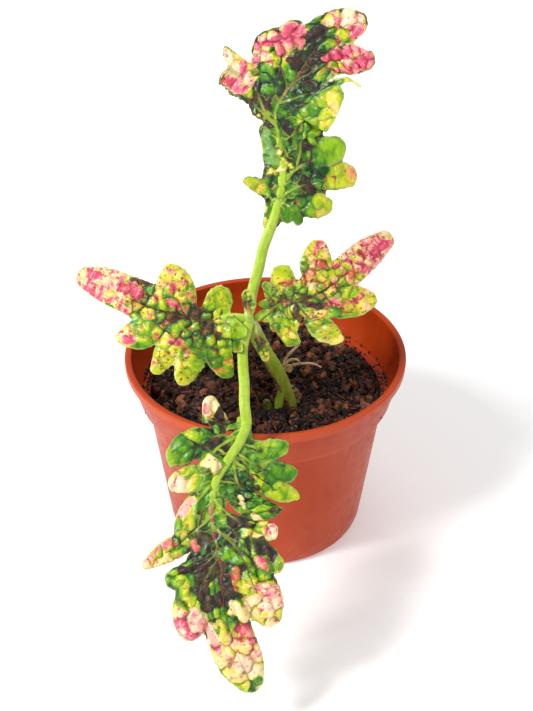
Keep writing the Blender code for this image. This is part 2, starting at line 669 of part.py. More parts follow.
def build_leaf(name, plan, kind, collection):
    """A blade with its stalk, which runs on under the blade as the midrib."""
    path = smooth_path(plan.stalk + plan.rib[1:], RIB_SPACING)
    lengths = np.r_[0, np.cumsum(np.linalg.norm(np.diff(path, axis=0), axis=1))]
    base = lengths[np.argmin(np.linalg.norm(path - np.array(plan.rib[0]), axis=1))]
    end = int(np.searchsorted(lengths, base + RIB_END_SHARE * (lengths[-1] - base)))
    thick, thin = plan.radius
    share = np.clip((lengths - base) / (lengths[-1] - base), 0, 1)
    radii = thick + (thin - thick) * share**RIB_TAPER_POWER
    _, _, face = leaf_frame(plan, lengths - base)
    along_rib = np.stack([lengths - base, np.zeros(len(path))], axis=1)
    under_blade = np.clip(along_rib[:, 0] / RIB_SINKS_OVER, 0, 1)
    height = under_blade * (blade_relief(plan, along_rib) - BLADE_THICKNESS / 2 - RIB_SUNK_SHARE * radii)
    rib = tube(name + "_rib", (path + face * height[:, None])[:end], radii[:end], collection)
    leaf = joined(name, [blade(name + "_blade", plan, collection), rib], collection)
    finish(leaf, kind)
    return leaf


def build_stem(collection):
    """The main stem with the side shoot and the lump of old root that grow from its foot."""
    pieces = [
        shoot("main", STEM_PATH, STEM_RADII, STEM_SPACING, collection),
        shoot("side", SIDE_SHOOT_PATH, SIDE_SHOOT_RADII, STEM_SPACING, collection),
        shoot("lump", ROOT_LUMP_PATH, ROOT_LUMP_RADII, LUMP_SPACING, collection),
    ]
    stem = joined("stem", pieces, collection)
    finish(stem, "stem_skin")
    return stem


def build_roots(collection):
    """The pale rootlets, which spring from one small knob beside the stem."""
    bpy.ops.mesh.primitive_ico_sphere_add(
        subdivisions=2, radius=ROOT_KNOB_RADIUS * MM, location=Vector(ROOT_KNOB) * MM
    )
    pieces = [moved_to(bpy.context.object, collection)]
    for k, path in enumerate(ROOT_PATHS):
        pieces.append(shoot(f"rootlet_{k}", path, ROOT_RADII, ROOT_SPACING, collection))
    roots = joined("aerial_roots", pieces, collection)
    finish(roots, "root_skin")
    return roots


def widened(points, radii, spacing, clearance):
    """Path and radii of a hole that clears a shoot on its sides and under its foot."""
    path = smooth_path(points, spacing)
    grown = np.interp(np.linspace(0, 1, len(path)), np.linspace(0, 1, len(radii)), radii) + clearance
    ahead = path[1] - path[0]
    path[0] -= ahead / np.linalg.norm(ahead) * SHOOT_HOLE_CLEARANCE
    return path, grown


def build():
    clear_scene()
    parts = new_collection("potted_coleus")
    build_pot(parts)
    stem = build_stem(parts)
    stub = shoot("side_stub", STUB_PATH, STUB_RADII, STUB_SPACING, parts)
    finish(stub, "shoot_skin")
    holes = [
        widened(STEM_PATH[:3], STEM_RADII[:3], STEM_SPACING, SHOOT_HOLE_CLEARANCE),
        widened(SIDE_SHOOT_PATH[:3], SIDE_SHOOT_RADII[:3], STEM_SPACING, SHOOT_HOLE_CLEARANCE),
        widened(ROOT_LUMP_PATH[:2], ROOT_LUMP_RADII[:2], LUMP_SPACING, SHOOT_HOLE_CLEARANCE),
        widened(STUB_PATH[:2], STUB_RADII[:2], STUB_SPACING, STUB_HOLE_CLEARANCE),
    ]
    build_soil(parts, holes)
    build_roots(parts)
    build_leaf("leaf_left", LEAF_LEFT, "leaf_blade", parts)
    build_leaf("leaf_right", LEAF_RIGHT, "leaf_blade", parts)
    build_leaf("leaf_top", LEAF_TOP, "leaf_blade", parts)
    build_leaf("leaf_bottom", LEAF_BOTTOM, "leaf_blade", parts)
    build_leaf("young_leaf_upper", YOUNG_LEAF_UPPER, "young_leaf", parts)
    build_leaf("young_leaf_lower", YOUNG_LEAF_LOWER, "young_leaf", parts)


build()
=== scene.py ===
"""Looks of the potted coleus: quilted leaves, hairy stem, crumbly soil and a scuffed nursery pot.

Sizes are written in millimetres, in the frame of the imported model, and turned into metres where a
mesh is made.
"""

import math
from collections import namedtuple
from types import SimpleNamespace

import bmesh
import bpy
import numpy as np
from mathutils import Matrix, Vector


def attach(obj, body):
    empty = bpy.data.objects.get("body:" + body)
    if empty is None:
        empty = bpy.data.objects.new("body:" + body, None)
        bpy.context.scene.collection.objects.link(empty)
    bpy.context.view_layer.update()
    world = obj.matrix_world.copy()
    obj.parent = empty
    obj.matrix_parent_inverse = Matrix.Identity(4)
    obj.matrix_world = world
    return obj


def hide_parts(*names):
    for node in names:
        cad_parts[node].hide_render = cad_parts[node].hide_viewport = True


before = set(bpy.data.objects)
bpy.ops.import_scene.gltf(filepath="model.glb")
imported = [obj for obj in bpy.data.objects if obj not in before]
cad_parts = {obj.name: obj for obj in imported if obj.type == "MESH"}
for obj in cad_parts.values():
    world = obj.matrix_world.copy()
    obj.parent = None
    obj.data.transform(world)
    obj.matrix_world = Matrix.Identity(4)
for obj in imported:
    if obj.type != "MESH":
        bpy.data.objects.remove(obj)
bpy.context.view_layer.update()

MM = 0.001

# Camera, fitted to the photograph's pot
CAMERA_TARGET = (0.39, 0.0, 62.2)
CAMERA_ELEVATION = 35.0
CAMERA_DISTANCE = 482.0
CAMERA_LENS = 75.95

# Floor and the light that comes from all around
FLOOR_HALF_WIDTH = 3000
FLOOR_GREY = 0.93
FLOOR_GLOW = 0.3
WORLD_STRENGTH = 0.36

# Pot
RIM_HEIGHT = 64.0
RIM_RADIUS = 45.0
RIM_WIDTH = 2.2
LIP_DROP = 3.0
COLLAR_DROP = 14.0
STEP_HEIGHT = RIM_HEIGHT - COLLAR_DROP
COLLAR_TOP_RADIUS = 43.6
COLLAR_FOOT_RADIUS = 41.0
BODY_TOP_RADIUS = 38.6
BASE_RADIUS = 31.8
WALL = 1.0
FLOOR = 1.6
POT_STEPS = 192
DRAIN_HOLES = 6
DRAIN_RING_RADIUS = 27.0
DRAIN_RADIUS = 3.2

# Soil
SOIL_DROP = 15.5
SOIL_LEVEL = RIM_HEIGHT - SOIL_DROP
SOIL_GAP = 0.4
SOIL_SPACING = 0.55
ROLL_HEIGHT = 0.9
CRUMB_HEIGHT = 0.7
CLOD_HEIGHT = 3.2
CLOD_PLACE = (29.0, 8.0)
CLOD_WIDTH = 5.5
FOOT_MOUND = (3.0, -15.5)
SOIL_TOP_DEPTH = 2.9
SOIL_TOP_RADIUS = 36.4
EVERY_WAY = 3.1
HAIR_LEAN = 0.5
FIBRE_LEAN = 0.35

# Leaves
BLADE_THICKNESS = 0.5
EDGE_THICKNESS = 0.2
EDGE_THINS_OVER = 0.8
DARK_EDGE_WIDTH = 0.9
BLADE_SPACING = 0.36
YOUNG_SPACING = 0.2
NOTCH_ROUNDING = 0.3
LOBE_CIRCLES = 14
LOBE_WIDEST = 0.62
LOBE_TIP_SHARE = 0.62
RELIEF_BLEND = 0.9
LOOK_BLEND = 0.7
FREE_FROM = 0.18
FREE_OVER = 0.25
OVERLAP_BLEND = 0.5
SHADE_REACH = 0.45
MIDDLE_REACH = 0.8
MIDDLE_BLEND = 2.5
KEEL_HEIGHT = 0.35
KEEL_WIDTH = 1.5
RIPPLE_HEIGHT = 0.3
WEB_NARROW_SHARE = 0.35
WEB_WIDENS_OVER = 12.0
EDGE_WAVE = 0.1
MARK_RAGGED = 0.32
MARK_WAVE = 1.4
MARK_BLEND = 0.3
BRIGHT_FROM = 0.85
QUILT_HEIGHT = 1.15
QUILT_REACH = 1.6
QUILT_CELL = 3.4
QUILT_DOME = 2.2
QUILT_FROM_EDGE = 1.7
SMALL_WAVE = 0.12
BLADE_BORDER = 8
PUCKER_BORDER = 5
PUCKER_STEP = 0.8
PUCKER_APART = 0.68
VEIN_DEPTH = 0.45
VEIN_RIDGE = 0.35
RIB_END_SHARE = 0.86
RIB_SINKS_OVER = 6.0
RIB_SUNK_SHARE = 0.25
RIB_SMOOTHING = 8
FRAME_SPACING = 0.5
STALK_SPACING = 0.8
PATTERN_OFFSET = 40.0
TO_LIGHT = (0.0, -0.82, 0.57)

# Sockets of the colour mix node, whose names stand more than once
MIX_SHARE, MIX_FIRST, MIX_SECOND, MIX_RESULT = 0, 6, 7, 2

Lobe = namedtuple("Lobe", "root tip half_width waist lift cup tilt", defaults=(0.7, 0.0, 0.0, 0.0))
Fill = namedtuple("Fill", "start end half_width")
LeafPlan = namedtuple("LeafPlan", "stalk rib radius web lobes fills", defaults=((),))

# The leaves' plans are those of the solids. Each point of a lobe is (along the rib, across it).
LEAF_LEFT = LeafPlan(
    stalk=[(-7, -18.6, 88.8), (-9.5, -18.5, 89)],
    rib=[(-9.5, -18.5, 89), (-13, -19, 89), (-18, -20, 89.5), (-24, -20.5, 91), (-30, -19.5, 92),
         (-35, -18, 92.5), (-41, -14.5, 93.5), (-47, -11.5, 94.5), (-57.5, -6, 95.5)],
    radius=(1.5, 0.35),
    web=3.2,
    lobes=[
        Lobe((23.5, 0.9), (53.3, 0.9), 5.6, 1.2, -2.0, -1.4),
        Lobe((16.5, -1), (22.5, 14), 6.5, 0.75, 1.6, -1.2),
        Lobe((7.5, -0.5), (2.3, 9.8), 4.6, 0.5, 1.0, -1.0),
        Lobe((8, -1), (-4.5, -4.6), 3.2, 0.6, 6.8, -0.6),
        Lobe((3, -6), (-3.7, -9.5), 2.3, 0.8, 5.8, -0.4),
        Lobe((7, -3.5), (3, -18), 3.5, 0.5, -1.0, -0.8),
        Lobe((10.5, -2), (12.5, -20.5), 3.4, 0.6, 1.0, -1.0),
        Lobe((15.5, -3), (20, -19), 3.5, 0.6, -0.8, -1.0),
        Lobe((20, -2), (30, -13), 4.3, 0.8, 1.2, -1.0),
    ],
)
LEAF_RIGHT = LeafPlan(
    stalk=[(-2.2, -18.4, 89), (-1, -18, 90)],
    rib=[(-1, -18, 90), (1.5, -17.5, 91.5), (6.5, -17.5, 94.5), (13.5, -18, 96), (17, -17, 97.5),
         (21, -14.5, 99), (25.5, -11, 101), (31.5, -5.5, 103), (38.5, 0.5, 105)],
    radius=(1.15, 0.35),
    web=2.6,
    lobes=[
        Lobe((17.5, 0), (51, -1.2), 5.1, 1.05, -2.0, -1.4),
        Lobe((15, -0.5), (29.3, -13), 5.5, 0.95, 1.2, -1.0),
        Lobe((9, 0), (9.7, -10.7), 2.4, 0.55, 1.4, -0.8),
        Lobe((5, -1), (6, -8), 1.4, 1.0, 2.0, 0.6),
        Lobe((6.5, 0), (1, -3), 1.5, 1.0, 0.8),
        Lobe((4, 2), (-1.5, 1), 1.7, 1.0, -0.6),
        Lobe((6, 3.5), (-1, 6), 2.0, 1.0, -1.2),
        Lobe((9.5, 1.5), (3, 13), 5.9, 0.55, -1.0, -0.8),
        Lobe((14.5, 2), (18, 16), 2.1, 0.55, 1.0, -0.8),
        Lobe((18.5, 3), (32.5, 11.5), 4.8, 0.8, -1.0, -1.0),
    ],
)
LEAF_TOP = LeafPlan(
    stalk=[(-4.7, -17.4, 91.3), (-4, -12.5, 94), (-2, -6, 98.5), (-0.5, -0.5, 103), (1, 1.5, 106.5)],
    rib=[(1, 1.5, 106.5), (3.5, 5, 113), (5, 7.5, 120.5), (5.5, 10, 127), (4, 12, 133.5), (3, 14.5, 141),
         (7, 16, 148), (11, 17, 154), (15.5, 18.5, 160.5), (21.5, 19.5, 165), (28, 19.5, 168.5)],
    radius=(1.7, 0.35),
    web=3.4,
    lobes=[
        Lobe((59.5, -2), (77.5, 1), 5.6, 0.9, -2.0, -1.2),
        Lobe((52, 2), (75, 12.5), 5.2, 0.9, -2.6, -1.0),
        Lobe((47, 0), (55.9, -15.4), 8.1, 0.75, 1.4, -1.6),
        Lobe((43, -6.5), (43.6, -23), 2.5, 0.9, -2.2, 0.8, 1.2),
        Lobe((39, -3), (40, -19), 1.3, 0.9, 1.4, -0.8),
        Lobe((36, 0), (38.5, -8), 1.6, 1.0, -1.0),
        Lobe((30.5, 0), (33.5, -5), 2.7, 1.2, -1.6),
        Lobe((23.5, -0.5), (25, -5.5), 3.6, 1.3, -1.6),
        Lobe((11.5, -1.5), (16, -11.5), 2.4, 1.0, 1.6),
        Lobe((12, -3), (1, -1.5), 1.2, 1.0, -0.5),
        Lobe((51.5, 8.5), (65, 17.5), 1.0, 1.5, 2.4),
        Lobe((27.5, 9.5), (54.8, 12.6), 5.5, 0.7, 1.0, -0.8),
        Lobe((23.5, 4.5), (24, 19), 2.6, 0.7, 1.4, -1.0),
        Lobe((18, 4.5), (19.5, 22.5), 3.2, 0.7, -1.0, -1.0),
        Lobe((10.6, 4), (11.6, 16.5), 3.4, 0.7, -1.6, -0.8),
        Lobe((11, 3), (5.4, 8.3), 2.0, 0.8, -1.4),
        Lobe((10, 1.5), (4.5, 4.5), 1.6, 1.0, -0.5),
    ],
    fills=[
        Fill((40.5, -5), (41, -14.5), 1.2),
        Fill((55, -3), (58, -8), 4.2),
        Fill((50, 6), (44, 5), 1.8),
        Fill((44, 4.5), (25, 5), 2.2),
        Fill((21, 5), (21, 11), 1.3),
        Fill((14.5, 4.5), (15, 12), 1.3),
        Fill((31, -3.5), (16, -4.5), 1.6),
    ],
)
LEAF_BOTTOM = LeafPlan(
    stalk=[(-5.2, -21.2, 87.9), (-5.8, -23.1, 86.3), (-6.4, -24.3, 84.1), (-6.8, -25.6, 82),
           (-6.7, -28.8, 80.8), (-6.5, -34, 80.7), (-6.1, -40, 80), (-6, -46.5, 77.5), (-5.5, -50, 72.5)],
    rib=[(-5.5, -50, 72.5), (-7, -55, 71), (-10.5, -61, 68.5), (-13.5, -66, 66), (-15, -72, 63),
         (-14.5, -79, 58), (-12.5, -85.5, 52.5), (-12, -91.5, 46), (-10.5, -95.5, 39), (-7.5, -100, 30),
         (-3.5, -103.5, 20.5)],
    radius=(1.6, 0.4),
    web=4.0,
    lobes=[
        Lobe((57, 0.6), (83.5, -0.2), 6.6, 1.0, -1.6, -1.4),
        Lobe((7.5, 7), (-8.3, 10.3), 3.9, 0.45, 1.4, -1.0),
        Lobe((9, 6.5), (19.5, 15.5), 4.4, 0.5, -1.0, -1.4),
        Lobe((14, 8), (19, 1.5), 2.1, 0.7, 3.0),
        Lobe((19, -1), (23.5, 13), 3.2, 0.6, -1.4, -0.6),
        Lobe((24, 1.5), (35, 10), 3.2, 0.7, 1.6, -1.0),
        Lobe((35, 2.5), (39.5, 21.5), 2.6, 0.9, 1.2, -1.0),
        Lobe((43.5, 1.5), (49, 15.5), 4.4, 1.0, -1.0, -0.6),
        Lobe((50, 6), (63.3, 12.2), 5.6, 1.0, -1.6, -1.4),
        Lobe((45.5, -9.5), (66, -12), 5.7, 0.8, -1.2, -1.0),
        Lobe((42, -6), (46, -17.5), 2.8, 0.9, 1.2, -1.0),
        Lobe((34.5, -7), (40.5, -17.5), 3.2, 0.9, 2.4, 1.0, 1.0),
        Lobe((21, -8), (32.5, -18.5), 6.7, 0.8, -1.6, -0.8),
        Lobe((14, -9.5), (10.5, -23), 3.2, 0.8, 1.0, -0.6),
        Lobe((11, -6), (6, -19), 2.6, 0.7, -1.2, -0.8),
        Lobe((7, -2.5), (2.5, -13.5), 2.8, 0.7, 1.4, -0.8),
        Lobe((5.5, -1), (2.5, -2), 1.5, 1.0, 0.5),
        Lobe((-2, 1.5), (4.5, 5), 1.0, 1.0, 0.5),
    ],
    fills=[
        Fill((9, 4.5), (15, 5.5), 2.2),
        Fill((7, -4.5), (19, -6), 2.2),
        Fill((31.5, -5), (34, -6), 1.6),
        Fill((36, -4), (40.5, -8), 2.0),
        Fill((38, -5), (44, -5), 1.8),
        Fill((37, 3.5), (43.5, 10), 1.5),
        Fill((44, -4.5), (53, -4.5), 1.6),
    ],
)
YOUNG_LEAF_UPPER = LeafPlan(
    stalk=[(-4.7, -20.7, 90.6), (-4.8, -20.6, 92.6)],
    rib=[(-4.8, -20.6, 92.6), (-5.4, -19.8, 96), (-5.8, -18.6, 99.4)],
    radius=(0.7, 0.3),
    web=1.1,
    lobes=[Lobe((1.5, 0), (7, 0), 1.5, 0.7, 0.0, 0.5), Lobe((1.5, 0), (2.6, 2.6), 1.0, 0.7, 0.4)],
)
YOUNG_LEAF_LOWER = LeafPlan(
    stalk=[(-3.1, -20.8, 86.8), (-2.6, -22, 85.4)],
    rib=[(-2.6, -22, 85.4), (-1.1, -23.2, 81.6), (0.6, -24, 77)],
    radius=(0.7, 0.3),
    web=1.1,
    lobes=[Lobe((1.5, 0), (9.2, 0), 1.5, 0.7, 0.0, 0.5), Lobe((2.0, 0), (4.0, -2.4), 0.9, 0.7, 0.4)],
)

# How a lobe is coloured, each as values from its root to its tip: pale runs from deep green over
# yellow-green to cream, pink and dark are the shares that pink and maroon patches cover. Calm is how
# even and smooth the lobe gets towards its tip, size scales its puckers.
Look = namedtuple("Look", "pale pink dark calm size", defaults=((0.0, 0.0), (0.0, 0.0), 0.0, 1.0))
# The blade's middle along the rib: (distance along it, pale, pink, dark, light veins, raised veins).
# Smooth is the share of the puckering that a lobe loses towards its tip, rim how dark the margin is,
# and rib is (share along the midrib, tone from green over tan to maroon, how proud it stands).
LeafLook = namedtuple("LeafLook", "seed cell stretch smooth rim rib middle lobes marks", defaults=((),))

# The larger patches that show in the photo: a strip between two flat points with ragged edges, which
# stands up as a blister where it has a lift. Each kind is (pale, pink, dark, how pale green and dull).
Mark = namedtuple("Mark", "kind start end half_width lift", defaults=(0.0,))
CREAM = (0.9, 0.36, 0.0, 0.0)
PEACH = (1.0, 0.55, 0.0, 0.0)
ROSE = (0.98, 0.85, 0.0, 0.0)
MAGENTA = (0.95, 1.3, 0.0, 0.0)
SALMON = (0.74, 1.15, 0.0, 0.0)
RUST = (0.5, 1.15, 0.05, 0.0)
YELLOW = (0.74, 0.0, 0.0, 0.0)
LIME = (0.6, 0.0, 0.0, 0.0)
LEAF_GREEN = (0.45, 0.0, 0.0, 0.0)
DEEP_GREEN = (0.2, 0.0, 0.15, 0.0)
OLIVE = (0.34, 0.0, 0.42, 0.0)
PLUM = (0.1, 0.0, 1.4, 0.0)
UNDERSIDE = (0.42, 0.0, 0.0, 1.0)
FOLD = (0.84, 0.1, 0.0, 0.0)

LOOK_LEFT = LeafLook(
    seed=3,
    cell=2.8,
    stretch=1.15,
    smooth=0.55,
    rim=0.2,
    rib=[(0, 0, 0), (0.1, 0, -1.2), (0.2, 0.5, -1.3), (1, 1, -1.3)],
    middle=[(0, 0.44, 0, 0.2, 0.6, 0), (5, 0.42, 0.2, 0.4, 0.1, 0), (14, 0.44, 0.45, 0.4, 0, 0),
            (24, 0.5, 0.5, 0.36, 0, 0), (34, 0.62, 0.58, 0.2, 0, 0), (42, 0.96, 0.52, 0, 0, 0)],
    lobes=[
        Look((0.44, 0.62, 0.98, 1.04, 1.04), (0.3, 0.52, 0.56, 0.46, 0.3), (0.5, 0.2, 0.0, 0.0), 0.6, 1.3),
        Look((0.5, 0.64, 0.78), (0.45, 0.4, 0.3), (0.4, 0.1, 0.0), 0.65, 1.35),
        Look((0.5, 0.56, 0.6), (0.0, 0.0), (0.35, 0.0, 0.0), 0.95, 1.3),
        Look((0.5, 0.55), (0.0, 0.0), (0.1, 0.0), 0.97, 1.3),
        Look((0.4, 0.46), (0.2, 0.4), (0.1, 0.0), 0.6),
        Look((0.34, 0.48, 0.52), (0.3, 0.4, 0.3), (0.45, 0.1, 0.0), 0.7, 1.3),
        Look((0.36, 0.52, 0.64), (0.3, 0.35, 0.1), (0.4, 0.1, 0.0), 0.85, 1.4),
        Look((0.4, 0.56, 0.72), (0.3, 0.25, 0.3), (0.4, 0.1, 0.0), 0.85, 1.4),
        Look((0.38, 0.54, 0.8), (0.25, 0.35, 0.4), (0.4, 0.15, 0.0), 0.7, 1.35),
    ],
    marks=[
        Mark(MAGENTA, (49.5, 2.5), (45.5, 2.5), 1.3), Mark(MAGENTA, (46.5, -3), (44, -3.5), 0.7),
        Mark(ROSE, (47.5, 0), (43, -3.5), 1.5), Mark(PEACH, (52.5, 3), (50.5, 1), 1.5),
        Mark(SALMON, (37.5, 2), (31, 2), 1.5), Mark(SALMON, (34.5, 3.5), (31.5, 3.5), 1.1),
        Mark(CREAM, (40.5, -1.5), (37.5, -0.5), 1), Mark(LEAF_GREEN, (40, -4.4), (34.5, -5), 0.7),
        Mark(LEAF_GREEN, (34.5, -5.2), (28, -5.4), 1.1), Mark(PLUM, (35.5, 5.5), (28.5, 6.4), 0.45),
        Mark(OLIVE, (31.5, 4.5), (26, 5.5), 0.6), Mark(MAGENTA, (34, -4), (32, -4.5), 1),
        Mark(SALMON, (20, 3), (17.5, 2.5), 1.1), Mark(LIME, (23, 3.5), (20.5, 1), 1),
        Mark(LIME, (18, 6), (15.5, 5), 1.3), Mark(MAGENTA, (28, -11.5), (27, -11), 1),
        Mark(LEAF_GREEN, (26, -12.5), (23.5, -10.5), 1.1),
        Mark(LEAF_GREEN, (16.5, -3.5), (15.5, -3.5), 1.3, 0.7), Mark(OLIVE, (28, 0), (19.5, -0.5), 0.6),
        Mark(OLIVE, (19.5, -1), (8.5, -1.5), 1), Mark(PLUM, (8.5, -1.5), (5, -4.5), 0.7),
        Mark(SALMON, (17, -8.5), (14.5, -8), 1), Mark(LIME, (26.5, -4), (23.5, -6), 1.1),
        Mark(LIME, (11, -13), (9.5, -14.5), 1.9, 0.5), Mark(LEAF_GREEN, (9, -7), (8, -10), 1.3),
        Mark(YELLOW, (19, -12.5), (17.5, -15), 1.1), Mark(YELLOW, (16.5, -13), (16.5, -15), 1.3),
    ],
)
LOOK_RIGHT = LeafLook(
    seed=8,
    cell=2.8,
    stretch=1.2,
    smooth=0.5,
    rim=0.2,
    rib=[(0, 0, 0), (0.12, 0, -1.2), (0.2, 0.5, -1.3), (1, 0.6, -1.3)],
    middle=[(0, 0.44, 0, 0.2, 0.6, 0), (6, 0.44, 0.2, 0.3, 0.2, 0), (16, 0.46, 0.45, 0.32, 0, 0),
            (26, 0.54, 0.6, 0.22, 0, 0), (36, 0.7, 0.64, 0.1, 0, 0), (46, 1.0, 0.5, 0, 0, 0)],
    lobes=[
        Look((0.6, 0.72, 1.0, 1.04), (0.45, 0.56, 0.58, 0.46), (0.25, 0.1, 0.0, 0.0), 0.6, 1.2),
        Look((0.54, 0.64, 0.76), (0.45, 0.4, 0.34), (0.3, 0.08, 0.0), 0.6, 1.3),
        Look((0.56, 0.62, 0.64), (0.42, 0.2, 0.05), (0.1, 0.0), 0.95, 1.3),
        Look((0.48, 0.54), (0.4, 0.2), (0.25, 0.1), 0.5),
        Look((0.48, 0.54), (0.1, 0.1), (0.15, 0.0), 0.6),
        Look((0.5, 0.56), (0.3, 0.2), (0.2, 0.0), 0.5),
        Look((0.48, 0.54), (0.5, 0.5), (0.25, 0.1), 0.3),
        Look((0.44, 0.54, 0.54), (0.4, 0.35, 0.2), (0.4, 0.1, 0.0), 0.75, 1.3),
        Look((0.46, 0.6, 0.7), (0.35, 0.3, 0.2), (0.4, 0.15, 0.0), 0.7, 1.35),
        Look((0.54, 0.62, 0.86), (0.5, 0.42, 0.44), (0.3, 0.1, 0.0), 0.65, 1.35),
    ],
    marks=[
        Mark(MAGENTA, (40.5, 0.5), (47, 0), 1.3), Mark(PEACH, (47.5, -4.5), (51, -3), 1),
        Mark(RUST, (38, -2.5), (37.5, -0.5), 1), Mark(SALMON, (35.5, 0.5), (35.5, 2.5), 1.1),
        Mark(RUST, (30, 1), (32, 1.5), 1.1), Mark(MAGENTA, (32.5, -3.5), (32.5, -2), 0.7),
        Mark(SALMON, (27, -12), (29, -12.5), 0.8), Mark(CREAM, (28.5, -10), (28.5, -8), 1),
        Mark(RUST, (23.5, -7), (25.5, -6.5), 1.4), Mark(RUST, (16.5, -6.5), (19, -7), 0.7),
        Mark(YELLOW, (17, -3.5), (19, -2.5), 1), Mark(LEAF_GREEN, (24, -4), (27.5, -2), 1.1, 0.3),
        Mark(RUST, (10, -5), (11.5, -5), 1), Mark(SALMON, (20.5, 4), (22, 5), 1.1),
        Mark(CREAM, (29, 10), (28, 11.5), 0.8), Mark(LEAF_GREEN, (27, 5), (28.5, 6), 1.2),
        Mark(LEAF_GREEN, (19.5, 6.5), (20.5, 8.5), 1.3), Mark(LEAF_GREEN, (20.5, 10), (24, 12), 0.9),
        Mark(YELLOW, (17, 4), (18, 7), 0.9), Mark(YELLOW, (14.5, 5), (17, 10), 0.9),
        Mark(YELLOW, (18, 13), (18, 14.5), 1.1), Mark(YELLOW, (3, 9), (6, 10.5), 1),
        Mark(OLIVE, (13, -1), (17.5, -1), 0.9),
        Mark(PLUM, (15.5, 1.5), (18, 4), 0.7), Mark(PLUM, (11.5, 3), (12, 5.5), 1),
    ],
)
